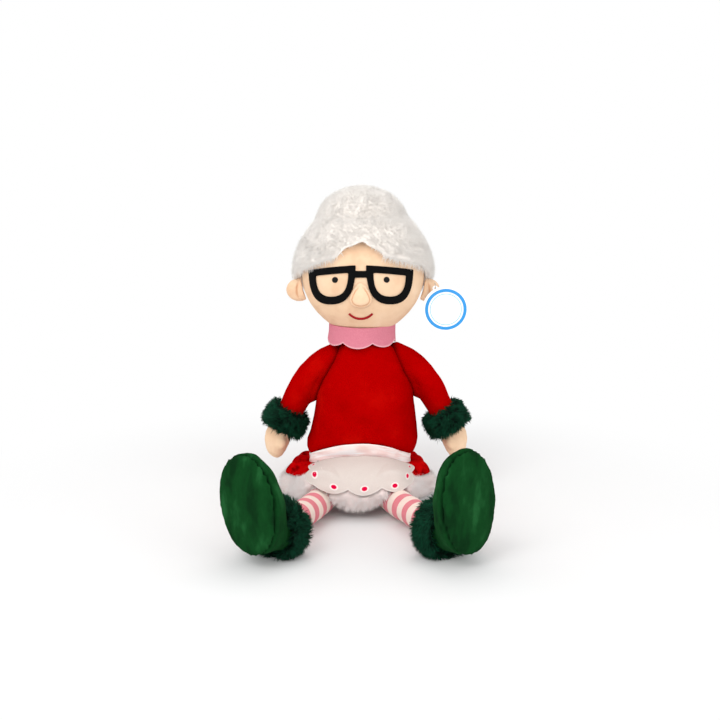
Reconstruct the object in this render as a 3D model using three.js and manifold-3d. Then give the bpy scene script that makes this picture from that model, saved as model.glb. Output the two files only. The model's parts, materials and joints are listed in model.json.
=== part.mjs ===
// Seated plush granny doll: a sweater body with a head, two arms and two booted legs, a skirt and an
// apron. Millimetres, +Z up. The doll faces -Y and its own right hand is on the -X side. The origin is
// on the flat underside of its seat, so the floor is at Z = 0.

import * as THREE from 'three';
import { mergeVertices } from 'three/addons/utils/BufferGeometryUtils.js';
import Module from 'manifold-3d';

const wasm = await Module();
wasm.setup();

// Main heights, from which the heights of the head, neck, collar and arms follow
const dollHeight = 399.5;
const headHeight = 135;
const bunRise = 46.5;
const headBottom = dollHeight - bunRise - headHeight;
const shoulderHeight = headBottom - 12;

// Seams and cloth
const seamGap = 0.3;
const feltThickness = 1.6;
const skirtThickness = 2.4;

// Seat and lower body
const seatHalfWidth = 73;
const seatHalfDepth = 56;
const seatShift = -4;
const waistHeight = 50;
const waistFrontRise = 26;
const waistHalfWidth = 62;
const waistHalfDepth = 56;
const bagHalfWidth = 40;
const bagHalfDepth = 22;
const bagHeight = 26;
const bagFloor = 9;
const bagSetBack = 12;

// Sweater body
const chestHalfWidth = 68;
const chestHalfDepth = 60;

// Neck, collar and head
const neckRadius = 20;
const neckBallRadius = 28;
const neckBallHeight = headBottom + 24;
const neckSetBack = 4;
const neckMouthLength = 29;
const neckMouthTop = headBottom + 14;
const collarHalfWidth = 43;
const collarHalfDepth = 46;
const collarThickness = 2.2;
const collarLow = shoulderHeight - 4.5;
const collarHigh = headBottom + 16;
const collarScallopCount = 7;
const collarScallopDepth = 6;
const headHalfWidth = 80;
const headHalfDepth = 73;
const faceCentreHeight = headBottom + 65;
const faceReach = 150;
const faceTilt = THREE.MathUtils.degToRad(12.5);

// Hair, bun and ears
const hairHalfWidth = 89;
const hairSideHeight = headBottom + 69;
const hairNapeHeight = headBottom + 22;
const bunHalfWidth = 57;
const bunHalfDepth = 50;
const bunHalfHeight = 45;
const bunTop = dollHeight;
const earReach = 100;
const earHalfHeight = 16;
const earHalfDepth = 8;
const earHalfReach = 18;
const earCentreHeight = headBottom + 52;

// Features of the face, from the face's centre
const eyeRadius = 3.6;
const eyeSpacing = 63;
const eyeDrop = 5;
const faceShift = -3;
const stitchHeight = 0.9;
const mouthHalfWidth = 14.5;
const mouthDrop = 45.7;
const mouthSag = 6.2;
const mouthLine = 2.6;
const lensTop = 12;
const lensDepth = 46;
const lensHalfWidth = 29;
const lensGap = 12.6;
const lensFall = 0.1;
const rimWidth = 9;
const bridgeTop = 5.3;
const bridgeHeight = 8.2;
const noseTop = -3;
const noseLength = 38;
const noseHalfWidth = 13;
const noseHeight = 12;

// Arms. They lie along the slanted seam that joins them to the body.
const armSpacing = 129;
const armShift = 4;
const armSeamHeight = shoulderHeight - 68;
const armSlant = THREE.MathUtils.degToRad(28.6);
const sleeveThickness = 37;
const sleeveHalfDepth = 27;
const sleeveTopRise = 75;
const wristDrop = 60;
const sleeveEndRadius = 18.2;
const sleeveCuffTop = 38;
const sleeveCuffLength = 33;
const sleeveCuffRadius = 26.5;
const cuffPileDepth = 3;
const wristRadius = 16.4;
const handLength = 51;
const handHalfWidth = 19;
const handHalfThickness = 13.5;
const thumbRadius = 7.5;
const thumbLength = 21;
const thumbDrop = 14;

// Legs and boots, one set of pose values for each side
const legRadius = 18;
const hipHeight = 20;
const ankleHeight = 33;
const legLift = 45;
const legDrop = 85;
const ankleCuffRadius = 33.5;
const ankleCuffLength = 31;
const ankleSwing = THREE.MathUtils.degToRad(15);
const bootShaftRadius = 25.5;
const bootReach = 58;
const bootHeight = 122;
const bootHalfWidth = 38;
const bootHeelHeight = 21;
const soleThickness = 9;
const bootShaftStart = 7;
const bootShaftEnd = 17;
const rightLeg = { hipX: -36, hipY: -50, length: 188, splay: 18.5, bootSplay: 32.5, bootLean: 6.5 };
const leftLeg = { hipX: 19, hipY: -50, length: 192, splay: 22, bootSplay: 34, bootLean: -7 };

// Skirt, trim, waistband and apron
const skirtShift = -7;
const skirtHalfWidth = 93;
const skirtHalfDepth = 64;
const skirtFolds = 9;
const skirtFoldDepth = 2.5;
const waistbandFront = 19;
const waistbandSide = 10;
const clothEase = 1.2;
const ribbonThickness = 1;
const trimHalfHeight = 12;
const trimHalfThickness = 8;
const trimClearance = 0.9;
const lapReach = 42;
const lapOverLeg = 50;
const lapRise = 31;
const lapHalfAngle = 0.42;
const lapBetween = 0.85;
const riseBetween = 0.5;
const apronHalfAngle = THREE.MathUtils.degToRad(66);
const apronHemHalfAngle = THREE.MathUtils.degToRad(42);
const apronRounding = 0.42;
const apronScallops = 5;
const apronScallopDepth = 6;
const apronHem = 3;
const apronTopEase = 0.07;

// Swing tag: a round card with a small tab for its hole, and the oval loop that holds it at the ear
const tagRadius = 30;
const tagTabRadius = 3.4;
const tagThickness = 1;
const tagHoleReach = 30.7;
const tagHoleRadius = 1.3;
const tagHole = new THREE.Vector3(91.6, -18, earCentreHeight + 4.5);
const tagTurn = THREE.MathUtils.degToRad(27);
const loopWire = 0.4;
const loopHalfLength = 9.5;
const loopHalfHeight = 3;

const materials = {
  sweater: ['#c00a08', 0.85],
  skin: ['#f0cba4', 0.8],
  hair: ['#ece6de', 0.95],
  green: ['#1f5a2b', 0.85],
  greenFur: ['#12402f', 0.95],
  whiteFur: ['#ecdfda', 0.95],
  apron: ['#eadfd8', 0.85],
  ribbon: ['#e8d8d8', 0.45],
  pink: ['#e18c9c', 0.9],
  stripes: ['#e59aa2', 0.9],
  lining: ['#a84a50', 0.9],
  black: ['#121212', 0.8],
  thread: ['#8c0f16', 0.6],
  card: ['#f4f4f4', 0.5],
};

const doll = new THREE.Group();

function addPiece(name, body, look) {
  const [color, roughness] = materials[look];
  const material = new THREE.MeshStandardMaterial({ color, roughness, metalness: 0 });
  const mesh = new THREE.Mesh(body instanceof THREE.BufferGeometry ? body : toGeometry(body), material);
  mesh.name = name;
  doll.add(mesh);
}

// Solids for cutting and joining

function toSolid(geometry) {
  const bare = geometry.clone();
  bare.deleteAttribute('normal');
  bare.deleteAttribute('uv');
  const merged = mergeVertices(bare, 1e-4);
  return new wasm.Manifold(new wasm.Mesh({
    numProp: 3,
    vertProperties: new Float32Array(merged.attributes.position.array),
    triVerts: new Uint32Array(merged.index.array),
  }));
}

function toGeometry(solid) {
  const mesh = solid.getMesh();
  const geometry = new THREE.BufferGeometry();
  geometry.setAttribute('position', new THREE.BufferAttribute(mesh.vertProperties, 3));
  geometry.setIndex(new THREE.BufferAttribute(mesh.triVerts, 1));
  geometry.computeVertexNormals();
  return geometry;
}

function cut(solid, ...cutters) {
  return cutters.reduce((left, cutter) => left.subtract(cutter), solid);
}

function join(...solids) {
  return solids.reduce((sum, solid) => sum.add(solid));
}

function placed(geometry, matrix) {
  return toSolid(geometry.clone().applyMatrix4(matrix));
}

function frameAt(origin, xAxis, yAxis, zAxis) {
  return new THREE.Matrix4().makeBasis(xAxis, yAxis, zAxis).setPosition(origin);
}

// A half space as a large slab whose face goes through a point, on the side that the normal points to.
function halfSpace(point, normal) {
  const reach = 600;
  const slab = new THREE.BoxGeometry(reach, reach, reach);
  slab.translate(0, 0, reach / 2);
  const turn = new THREE.Quaternion().setFromUnitVectors(upZ, normal.clone().normalize());
  return placed(slab, new THREE.Matrix4().compose(point, turn, new THREE.Vector3(1, 1, 1)));
}

// A grid of points closed round in u and shut at both ends of v by one pole point each.
function closedSkin(pointAt, around, along) {
  const points = [pointAt(0, 0)];
  for (let row = 1; row < along; row += 1) {
    for (let column = 0; column < around; column += 1) {
      points.push(pointAt(column / around, row / along));
    }
  }
  points.push(pointAt(0, 1));
  const last = points.length - 1;
  const faces = [];
  for (let column = 0; column < around; column += 1) {
    const next = (column + 1) % around;
    faces.push(0, 1 + next, 1 + column);
    for (let row = 0; row < along - 2; row += 1) {
      const low = 1 + row * around;
      const high = low + around;
      faces.push(low + column, low + next, high + next, low + column, high + next, high + column);
    }
    faces.push(last, last - around + column, last - around + next);
  }
  return indexed(points, faces);
}

// A grid of points closed round both ways, such as a band of fur or a loop of wire.
function closedBand(pointAt, columns, sides) {
  const points = [];
  const faces = [];
  for (let column = 0; column < columns; column += 1) {
    const next = (column + 1) % columns;
    for (let side = 0; side < sides; side += 1) {
      const turn = (side + 1) % sides;
      points.push(pointAt(column / columns, side / sides));
      const [a, b] = [column * sides + side, next * sides + side];
      const [c, d] = [next * sides + turn, column * sides + turn];
      faces.push(a, b, c, a, c, d);
    }
  }
  return indexed(points, faces);
}

function indexed(points, faces) {
  const geometry = new THREE.BufferGeometry().setFromPoints(points);
  geometry.setIndex(faces);
  return geometry;
}

// A stuffed shape along Z. Each station is [height, half width, half depth, shift in X, shift in Y], and
// the first and last have no width. A grown copy is larger by the same amount all round.
function stuffed(stations, around, along, grow = 0) {
  const sizePoints = stations.map(([z, w, d]) => new THREE.Vector3(w, d, z));
  const shiftPoints = stations.map(([z, , , x = 0, y = 0]) => new THREE.Vector3(x, y, z));
  const sizes = new THREE.CatmullRomCurve3(sizePoints, false, 'centripetal');
  const shifts = new THREE.CatmullRomCurve3(shiftPoints);
  return closedSkin((u, v) => {
    const size = sizes.getPoint(v);
    const shift = shifts.getPoint(v);
    const slope = sizes.getTangent(v);
    const steep = Math.hypot(slope.x, slope.z) || 1;
    const wide = v === 0 || v === 1 ? 0 : 1;
    const angle = u * Math.PI * 2;
    const sideways = wide * grow * Math.max(slope.z / steep, 0.05);
    return new THREE.Vector3(
      shift.x + (size.x * wide + sideways) * Math.cos(angle),
      shift.y + (size.y * wide + sideways) * Math.sin(angle),
      size.z - grow * slope.x / steep,
    );
  }, around, along);
}

// A surface over u and v moved outwards by a distance along its normal.
function lifted(surface, distance) {
  const step = 1e-3;
  return (u, v) => {
    const alongU = surface(u + step, v).sub(surface(u - step, v));
    const alongV = surface(u, v + step).sub(surface(u, v - step));
    return surface(u, v).addScaledVector(alongV.cross(alongU).normalize(), distance);
  };
}

// Cloth that hangs: a surface given a thickness inwards. A loop joins u = 1 to u = 0.
function cloth(surface, thickness, columns, rows, loop) {
  const columnCount = loop ? columns : columns + 1;
  const points = [];
  for (const side of [surface, lifted(surface, -thickness)]) {
    for (let row = 0; row <= rows; row += 1) {
      for (let column = 0; column < columnCount; column += 1) {
        points.push(side(column / columns, row / rows));
      }
    }
  }
  const layer = columnCount * (rows + 1);
  const at = (side, row, column) => side * layer + row * columnCount + (column % columnCount);
  const faces = [];
  const quad = (a, b, c, d) => faces.push(a, b, c, a, c, d);
  for (let column = 0; column < columns; column += 1) {
    for (let row = 0; row < rows; row += 1) {
      quad(at(0, row, column), at(0, row + 1, column), at(0, row + 1, column + 1), at(0, row, column + 1));
      quad(at(1, row, column), at(1, row, column + 1), at(1, row + 1, column + 1), at(1, row + 1, column));
    }
    quad(at(0, 0, column), at(0, 0, column + 1), at(1, 0, column + 1), at(1, 0, column));
    quad(at(0, rows, column), at(1, rows, column), at(1, rows, column + 1), at(0, rows, column + 1));
  }
  for (let row = 0; row < rows && !loop; row += 1) {
    quad(at(0, row, 0), at(1, row, 0), at(1, row + 1, 0), at(0, row + 1, 0));
    quad(at(0, row, columns), at(0, row + 1, columns), at(1, row + 1, columns), at(1, row, columns));
  }
  return indexed(points, faces);
}

// A ring of fur or card: a profile of [radius, height] points turned about Z.
function ring(profile, sides) {
  const points = [...profile, profile[0]].map(([radius, height]) => new THREE.Vector2(radius, height));
  const geometry = new THREE.LatheGeometry(points, sides);
  geometry.rotateX(Math.PI / 2);
  return geometry;
}

const ballSides = 20;

function ballGeometry(centre, radius) {
  const geometry = new THREE.SphereGeometry(radius, ballSides, ballSides / 2);
  return geometry.rotateX(Math.PI / 2).translate(centre.x, centre.y, centre.z);
}

// A round hollow whose flat facets lie just outside a gap round the ball that turns in it.
function socketGeometry(centre, radius) {
  return ballGeometry(centre, (radius + seamGap) / Math.cos(Math.PI / ballSides) ** 2);
}

const sideX = new THREE.Vector3(1, 0, 0);
const frontY = new THREE.Vector3(0, 1, 0);
const upZ = new THREE.Vector3(0, 0, 1);

// Body under the sweater, and the sweater body on it

// The waist seam rises over the belly: level behind, and higher towards the front.
const waistAt = (y) => waistHeight + waistFrontRise * Math.max(0, -y / waistHalfDepth) ** 1.6;

// Everything over the waist seam, or under it, with a gap to the seam.
function besideWaist(above, gap) {
  const reach = 200;
  const profile = new THREE.Shape();
  profile.moveTo(reach, above ? 2 * reach : -reach);
  profile.lineTo(reach, waistHeight + gap);
  const steps = 10;
  for (let step = 0; step <= steps; step += 1) {
    const y = -1.4 * waistHalfDepth * step / steps;
    profile.lineTo(y, waistAt(y) + gap);
  }
  profile.lineTo(-reach, waistAt(-1.4 * waistHalfDepth) + gap);
  profile.lineTo(-reach, above ? 2 * reach : -reach);
  const prism = new THREE.ExtrudeGeometry(profile, { depth: 2 * reach, bevelEnabled: false });
  prism.translate(0, 0, -reach);
  return placed(prism, frameAt(new THREE.Vector3(), frontY, upZ, sideX));
}

const bodyStations = [
  [-6, 0, 0],
  [-4, 0.62 * seatHalfWidth, 0.84 * seatHalfDepth],
  [4, 0.88 * seatHalfWidth, 0.94 * seatHalfDepth],
  [13, seatHalfWidth, seatHalfDepth],
  [24, 0.98 * seatHalfWidth, seatHalfDepth],
  [waistHeight - 14, 1.02 * waistHalfWidth, waistHalfDepth],
  [waistHeight, waistHalfWidth, waistHalfDepth],
  [waistHeight + 24, 0.97 * waistHalfWidth, waistHalfDepth],
  [waistHeight + 42, 0, 0],
].map(([z, w, d]) => [z, w, d, seatShift, 0]);

const torsoStations = [
  [0.1456, 0, 0, -2.5],
  [0.1845, 0.9, 0.82, -2.5],
  [0.2427, 1.02, 0.93, -2.5],
  [0.2961, 1.095, 0.985, -2],
  [0.3495, 1.1, 1, -0.5],
  [0.4078, 1.05, 1.01, 1.5],
  [0.4951, 1, 1, 2.5],
  [0.6019, 0.97, 0.95, 2.5],
  [0.7184, 0.95, 0.87, 2.5],
  [0.8252, 0.88, 0.8, 2.5],
  [0.9126, 0.76, 0.74, 2.5],
  [0.9806, 0.62, 0.67, 1.5],
  [1.0388, 0.4, 0.45, 0],
  [1.0777, 0, 0, 0],
].map(([z, w, d, x]) => [z * shoulderHeight, w * chestHalfWidth, d * chestHalfDepth, x]);

// Each station of the torso is a share of the shoulder height, the chest's width and its depth, and a shift.
const torsoShape = (grow = 0) => toSolid(stuffed(torsoStations, 26, 13, grow));
const bodyShape = (grow = 0) => toSolid(stuffed(bodyStations, 20, 9, grow));

// The arm's frame: X points away from the body, square to the seam, and Z runs down the arm.
// Everything on the arm is made for the doll's right side and mirrored for its left.
const armDown = new THREE.Vector3(-Math.sin(armSlant), 0, -Math.cos(armSlant));
const armOut = new THREE.Vector3(-Math.cos(armSlant), 0, Math.sin(armSlant));
const armSide = new THREE.Vector3().crossVectors(armDown, armOut);
const armSeamPoint = new THREE.Vector3(-armSpacing / 2, 0, armSeamHeight);
const armFrame = frameAt(armSeamPoint, armOut, armSide, armDown);

function onArm(side, geometry) {
  const solid = placed(geometry, armFrame);
  return shifted(side === 'right' ? solid : mirrored(solid), armShift);
}

function shifted(solid, x) {
  const geometry = toGeometry(solid);
  geometry.translate(x, 0, 0);
  return toSolid(geometry);
}

function mirrored(solid) {
  const geometry = toGeometry(solid);
  geometry.scale(-1, 1, 1);
  geometry.index.array.reverse();
  return toSolid(geometry);
}

function seamCutter(side, grow) {
  const out = armOut.clone();
  const point = armSeamPoint.clone();
  if (side === 'left') {
    out.x *= -1;
    point.x *= -1;
  }
  point.x += armShift;
  return halfSpace(point.addScaledVector(out, grow), out);
}

const belowWaist = besideWaist(false, -seamGap / 2);
const aboveShoulder = halfSpace(new THREE.Vector3(0, 0, shoulderHeight), upZ);

const torso = cut(
  torsoShape().intersect(besideWaist(true, seamGap / 2)),
  aboveShoulder,
  seamCutter('right', -seamGap / 2),
  seamCutter('left', -seamGap / 2),
);
addPiece('torso', torso, 'sweater');

// Arms

const sleeveStations = [
  [-sleeveTopRise, 0, 0, 2],
  [-0.94 * sleeveTopRise, 0.2 * sleeveThickness, 0.5 * sleeveHalfDepth, 0],
  [-0.8 * sleeveTopRise, 0.4 * sleeveThickness, 0.74 * sleeveHalfDepth, 0.5],
  [-0.6 * sleeveTopRise, 0.47 * sleeveThickness, 0.92 * sleeveHalfDepth, 0.21 * sleeveThickness],
  [-0.35 * sleeveTopRise, 0.52 * sleeveThickness, sleeveHalfDepth, 0.37 * sleeveThickness],
  [-9, 0.54 * sleeveThickness, 0.96 * sleeveHalfDepth, 0.46 * sleeveThickness],
  [15, 0.53 * sleeveThickness, 0.84 * sleeveHalfDepth, 0.47 * sleeveThickness],
  [sleeveCuffTop - 4, sleeveEndRadius, sleeveEndRadius, 0.47 * sleeveThickness],
  [wristDrop - 10, sleeveEndRadius, sleeveEndRadius, 0.47 * sleeveThickness],
  [wristDrop + 6, sleeveEndRadius, sleeveEndRadius, 0.47 * sleeveThickness],
  [wristDrop + 12, 0, 0, 0.47 * sleeveThickness],
];

const wristOut = 0.47 * sleeveThickness;
const wristPoint = new THREE.Vector3(wristOut, 0, wristDrop);

const handStations = [
  [wristDrop - wristRadius, 0, 0, wristOut],
  [wristDrop - 0.86 * wristRadius, 0.51 * wristRadius, 0.51 * wristRadius, wristOut],
  [wristDrop - 0.5 * wristRadius, 0.86 * wristRadius, 0.86 * wristRadius, wristOut],
  [wristDrop, wristRadius, wristRadius, wristOut],
  [wristDrop + 0.25 * handLength, 0.93 * handHalfWidth, 1.02 * handHalfThickness, wristOut - 1],
  [wristDrop + 0.5 * handLength, handHalfWidth, handHalfThickness, wristOut - 3],
  [wristDrop + 0.76 * handLength, 0.82 * handHalfWidth, 0.92 * handHalfThickness, wristOut - 6],
  [wristDrop + 0.93 * handLength, 0.5 * handHalfWidth, 0.6 * handHalfThickness, wristOut - 9],
  [wristDrop + handLength, 0, 0, wristOut - 10],
];

// The thumb lies on the front of the palm, towards the body.
function thumb() {
  const stations = [
    [0, 0, 0],
    [0.12 * thumbLength, 0.62 * thumbRadius, 0.62 * thumbRadius],
    [0.45 * thumbLength, thumbRadius, thumbRadius],
    [0.85 * thumbLength, 0.7 * thumbRadius, 0.7 * thumbRadius],
    [thumbLength, 0, 0],
  ];
  const geometry = stuffed(stations, 12, 6);
  geometry.rotateY(-0.25);
  geometry.translate(wristOut - 8, armSide.y * -0.8 * handHalfThickness, wristDrop + thumbDrop);
  return geometry;
}

const sleeveEnd = wristDrop - 4;
const cuffBore = sleeveEndRadius + 2 * seamGap;
const handBore = wristRadius + 4.6;
const sleeveCuffEnd = sleeveCuffTop + sleeveCuffLength;
const sleeveCuffProfile = [
  [cuffBore, sleeveCuffTop + 2],
  [sleeveCuffRadius - cuffPileDepth, sleeveCuffTop],
  [sleeveCuffRadius, sleeveCuffTop + 0.3 * sleeveCuffLength],
  [sleeveCuffRadius, sleeveCuffTop + 0.7 * sleeveCuffLength],
  [sleeveCuffRadius - cuffPileDepth, sleeveCuffEnd],
  [handBore, sleeveCuffEnd - 1],
  [cuffBore, sleeveEnd - 1],
];

for (const side of ['right', 'left']) {
  const hand = join(onArm(side, stuffed(handStations, 16, 10)), onArm(side, thumb()));
  const wristSocket = onArm(side, socketGeometry(wristPoint, wristRadius));
  const sleeveMouth = onArm(side, slabGeometry(sleeveEnd));
  const sleeve = cut(
    onArm(side, stuffed(sleeveStations, 20, 11)).intersect(seamCutter(side, seamGap / 2)),
    sleeveMouth,
    wristSocket,
  );
  const cuff = ring(sleeveCuffProfile, 20);
  cuff.translate(wristOut, 0, 0);
  addPiece(`${side}_sleeve`, sleeve, 'sweater');
  addPiece(`${side}_sleeve_cuff`, onArm(side, cuff), 'greenFur');
  addPiece(`${side}_hand`, hand, 'skin');
}

function slabGeometry(height) {
  const depth = 2 * sleeveCuffLength;
  const geometry = new THREE.BoxGeometry(3 * depth, 3 * depth, depth);
  geometry.translate(0, 0, height + depth / 2);
  return geometry;
}

// Neck and head

const headStations = [
  [0, 0, 0],
  [0.012, 0.3, 0.32],
  [0.045, 0.52, 0.55],
  [0.115, 0.67, 0.7],
  [0.22, 0.83, 0.85],
  [0.36, 0.955, 0.965],
  [0.54, 1, 1],
  [0.72, 0.95, 0.95],
  [0.86, 0.8, 0.8],
  [0.95, 0.55, 0.55],
  [0.99, 0.25, 0.25],
  [1, 0, 0],
].map(([z, w, d]) => [headBottom + z * headHeight, w * headHalfWidth, d * headHalfDepth]);

const headShape = (grow = 0) => toSolid(stuffed(headStations, 28, 15, grow));
const neckPoint = new THREE.Vector3(0, neckSetBack, neckBallHeight);

const neckColumnHeight = neckBallHeight - shoulderHeight - seamGap;
const neckColumn = new THREE.CylinderGeometry(neckRadius, neckRadius + 4, neckColumnHeight, 20);
neckColumn.rotateX(Math.PI / 2);
neckColumn.translate(0, neckSetBack, (neckBallHeight + shoulderHeight + seamGap) / 2);
const neck = join(toSolid(neckColumn), toSolid(ballGeometry(neckPoint, neckBallRadius)));
addPiece('neck', neck.intersect(halfSpace(new THREE.Vector3(0, 0, shoulderHeight + seamGap), upZ)), 'skin');

const neckMouth = new THREE.CylinderGeometry(neckRadius + 10, neckRadius + 17, neckMouthLength, 16);
neckMouth.rotateX(Math.PI / 2);
neckMouth.translate(0, neckSetBack, neckMouthTop - neckMouthLength / 2);
const head = cut(headShape(), toSolid(socketGeometry(neckPoint, neckBallRadius)), toSolid(neckMouth));
addPiece('head', head, 'skin');

// The face is drawn in a plane that leans back, with x across and y up from the face's centre, and is
// laid on the head along that plane's normal.
const faceUp = new THREE.Vector3(0, Math.sin(faceTilt), Math.cos(faceTilt));
const faceFront = new THREE.Vector3(0, -Math.cos(faceTilt), Math.sin(faceTilt));
const faceOrigin = new THREE.Vector3(0, 0, faceCentreHeight);
const faceFrame = frameAt(faceOrigin, sideX, faceUp, faceFront);

// Outlines pressed on the front of the head, as a layer between two heights over its skin.
function facePrism(shape) {
  const settings = { depth: faceReach, bevelEnabled: false, curveSegments: 6 };
  return placed(new THREE.ExtrudeGeometry(shape, settings), faceFrame);
}

function onFace(prism, thickness) {
  return prism.intersect(cut(headShape(seamGap + thickness), headShape(seamGap)));
}

// One lens outline: a flat top that falls a little outwards, and a round bottom.
function lensShape(centreX, top, halfWidth, depth) {
  const low = top - depth;
  const fall = lensFall * halfWidth;
  const [left, right] = centreX < 0 ? [top - fall, top] : [top, top - fall];
  const shape = new THREE.Shape();
  shape.moveTo(centreX - halfWidth, left);
  shape.lineTo(centreX + halfWidth, right);
  shape.bezierCurveTo(centreX + halfWidth, top - 0.55 * depth, centreX + 0.55 * halfWidth, low, centreX, low);
  const start = centreX - halfWidth;
  shape.bezierCurveTo(centreX - 0.55 * halfWidth, low, start, top - 0.55 * depth, start, left);
  return shape;
}

function spectacles() {
  const rims = [-1, 1].map((side) => {
    const centreX = faceShift + side * (lensGap / 2 + lensHalfWidth);
    const openingDepth = lensDepth - 2 * rimWidth;
    const opening = lensShape(centreX, lensTop - rimWidth, lensHalfWidth - rimWidth, openingDepth);
    return cut(facePrism(lensShape(centreX, lensTop, lensHalfWidth, lensDepth)), facePrism(opening));
  });
  const bridge = new THREE.Shape();
  const reach = lensGap / 2 + 3;
  bridge.moveTo(faceShift - reach, bridgeTop - bridgeHeight);
  bridge.lineTo(faceShift + reach, bridgeTop - bridgeHeight);
  bridge.lineTo(faceShift + reach, bridgeTop);
  bridge.lineTo(faceShift - reach, bridgeTop);
  return join(...rims, facePrism(bridge));
}

const glassesPrism = spectacles();
addPiece('glasses', onFace(glassesPrism, feltThickness), 'black');

for (const [side, sign] of [['right', -1], ['left', 1]]) {
  const dot = new THREE.Shape();
  dot.absarc(faceShift + sign * eyeSpacing / 2, -eyeDrop, eyeRadius, 0, Math.PI * 2);
  addPiece(`${side}_eye`, onFace(facePrism(dot), stitchHeight), 'black');
}

const smile = new THREE.Shape();
const smileRadius = (mouthHalfWidth ** 2 + mouthSag ** 2) / (2 * mouthSag);
const smileAngle = Math.asin(mouthHalfWidth / smileRadius);
const smileY = smileRadius - mouthSag - mouthDrop;
const smileStart = -Math.PI / 2 - smileAngle;
const smileEnd = -Math.PI / 2 + smileAngle;
smile.absarc(faceShift, smileY, smileRadius + mouthLine / 2, smileStart, smileEnd, false);
smile.absarc(faceShift, smileY, smileRadius - mouthLine / 2, smileEnd, smileStart, true);
addPiece('mouth', onFace(facePrism(smile), stitchHeight), 'thread');

// The nose is a stuffed drop, narrow under the bridge of the spectacles and full at its round end.
const noseFaceDepth = headHalfDepth * 0.93;
const nose = stuffed([
  [noseTop - noseLength, 0, 0],
  [noseTop - 0.96 * noseLength, 0.5 * noseHalfWidth, 0.5 * noseHeight],
  [noseTop - 0.85 * noseLength, 0.86 * noseHalfWidth, 0.9 * noseHeight],
  [noseTop - 0.68 * noseLength, noseHalfWidth, noseHeight],
  [noseTop - 0.42 * noseLength, 0.76 * noseHalfWidth, 0.8 * noseHeight],
  [noseTop - 0.14 * noseLength, 0.4 * noseHalfWidth, 0.45 * noseHeight],
  [noseTop, 0, 0],
], 18, 10);
nose.rotateX(-Math.PI / 2);
const noseOrigin = faceOrigin.clone().addScaledVector(faceFront, noseFaceDepth);
const noseFrame = frameAt(noseOrigin, sideX, faceUp, faceFront);
const noseBody = cut(shifted(placed(nose, noseFrame), faceShift), headShape(seamGap));
addPiece('nose', noseBody, 'skin');

// Ears, hair and bun

const tagDown = new THREE.Vector3(Math.sin(tagTurn), 0, -Math.cos(tagTurn));
const loopCentre = new THREE.Vector3(
  tagHole.x,
  tagHole.y + 0.7 * loopHalfLength,
  tagHole.z + 0.72 * loopHalfHeight + tagHoleRadius - loopWire - seamGap,
);

// The oval loop of wire, in a plane that runs front to back: it goes through the tag and the ear's edge.
function tagLoop(grow) {
  return toSolid(closedBand((u, v) => {
    const along = u * Math.PI * 2;
    const round = v * Math.PI * 2;
    const out = new THREE.Vector3(0, loopHalfHeight * Math.cos(along), loopHalfLength * Math.sin(along));
    const point = new THREE.Vector3(0, loopHalfLength * Math.cos(along), loopHalfHeight * Math.sin(along));
    point.add(loopCentre).addScaledVector(out.normalize(), (loopWire + grow) * Math.cos(round));
    return point.addScaledVector(sideX, (loopWire + grow) * Math.sin(round));
  }, 20, 6));
}

const earCutters = [headShape(seamGap), tagLoop(seamGap)];
for (const [side, sign] of [['right', -1], ['left', 1]]) {
  const ear = new THREE.SphereGeometry(1, 14, 8);
  ear.scale(earHalfReach, earHalfDepth, earHalfHeight);
  ear.translate(sign * (earReach - earHalfReach), -2, earCentreHeight);
  addPiece(`${side}_ear`, cut(toSolid(ear), ...earCutters), 'skin');
}

// The hair leaves the face open: its edge rises to a peak over the middle of the forehead.
const hairline = new THREE.Shape();
hairline.moveTo(-74, -60);
hairline.lineTo(74, -60);
hairline.lineTo(74, -6);
hairline.quadraticCurveTo(70, 10, 52, 15);
hairline.quadraticCurveTo(30, 21, 20, 31);
hairline.quadraticCurveTo(8, 30, 0, 36);
hairline.quadraticCurveTo(-6, 32, -22, 33);
hairline.quadraticCurveTo(-36, 22, -52, 18);
hairline.quadraticCurveTo(-70, 10, -74, -6);
const faceOpening = facePrism(hairline);
const napeDepth = 0.92 * hairHalfWidth;
const hairSlope = (hairSideHeight - hairNapeHeight) / napeDepth;
const underHair = halfSpace(new THREE.Vector3(0, 0, hairSideHeight), new THREE.Vector3(0, -hairSlope, -1));

// The outer side of the hair, by its height over the chin and its half width.
const hairStations = [
  [8, 0],
  [12, 60],
  [20, 74],
  [36, 85],
  [52, 88.5],
  [71, hairHalfWidth],
  [82, 88.5],
  [94, 86],
  [102, 83.5],
  [109, 80.5],
  [117, 76],
  [125, 70.5],
  [133, 65],
  [140, 59],
  [145, 50],
  [149, 33],
  [151, 0],
].map(([z, w]) => [headBottom + z, w, 0.92 * w]);
const hairShape = (grow) => toSolid(stuffed(hairStations, 28, 17, grow));
const hair = cut(hairShape(0), headShape(seamGap), faceOpening, underHair);
addPiece('hair', hair, 'hair');

const bun = new THREE.SphereGeometry(1, 22, 10);
bun.rotateX(Math.PI / 2);
bun.scale(bunHalfWidth, bunHalfDepth, bunHalfHeight);
bun.translate(-2, 5, bunTop - bunHalfHeight);
addPiece('hair_bun', cut(toSolid(bun), hairShape(seamGap)), 'hair');

// Collar: a felt band round the neck with scallops along its lower edge

const collarBand = cloth((u, v) => {
  const angle = u * Math.PI * 2 - Math.PI / 2;
  const scallop = Math.abs(Math.cos(u * Math.PI * collarScallopCount));
  const low = collarLow + collarScallopDepth * (1 - scallop) + 4 * Math.cos(angle) ** 2;
  return new THREE.Vector3(
    -1.5 + collarHalfWidth * Math.cos(angle),
    collarHalfDepth * Math.sin(angle),
    collarHigh + (low - collarHigh) * v,
  );
}, collarThickness, 42, 1, true);
const collar = cut(toSolid(collarBand), headShape(seamGap), torsoShape(seamGap));
addPiece('collar', collar, 'pink');

// Legs and boots

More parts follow.
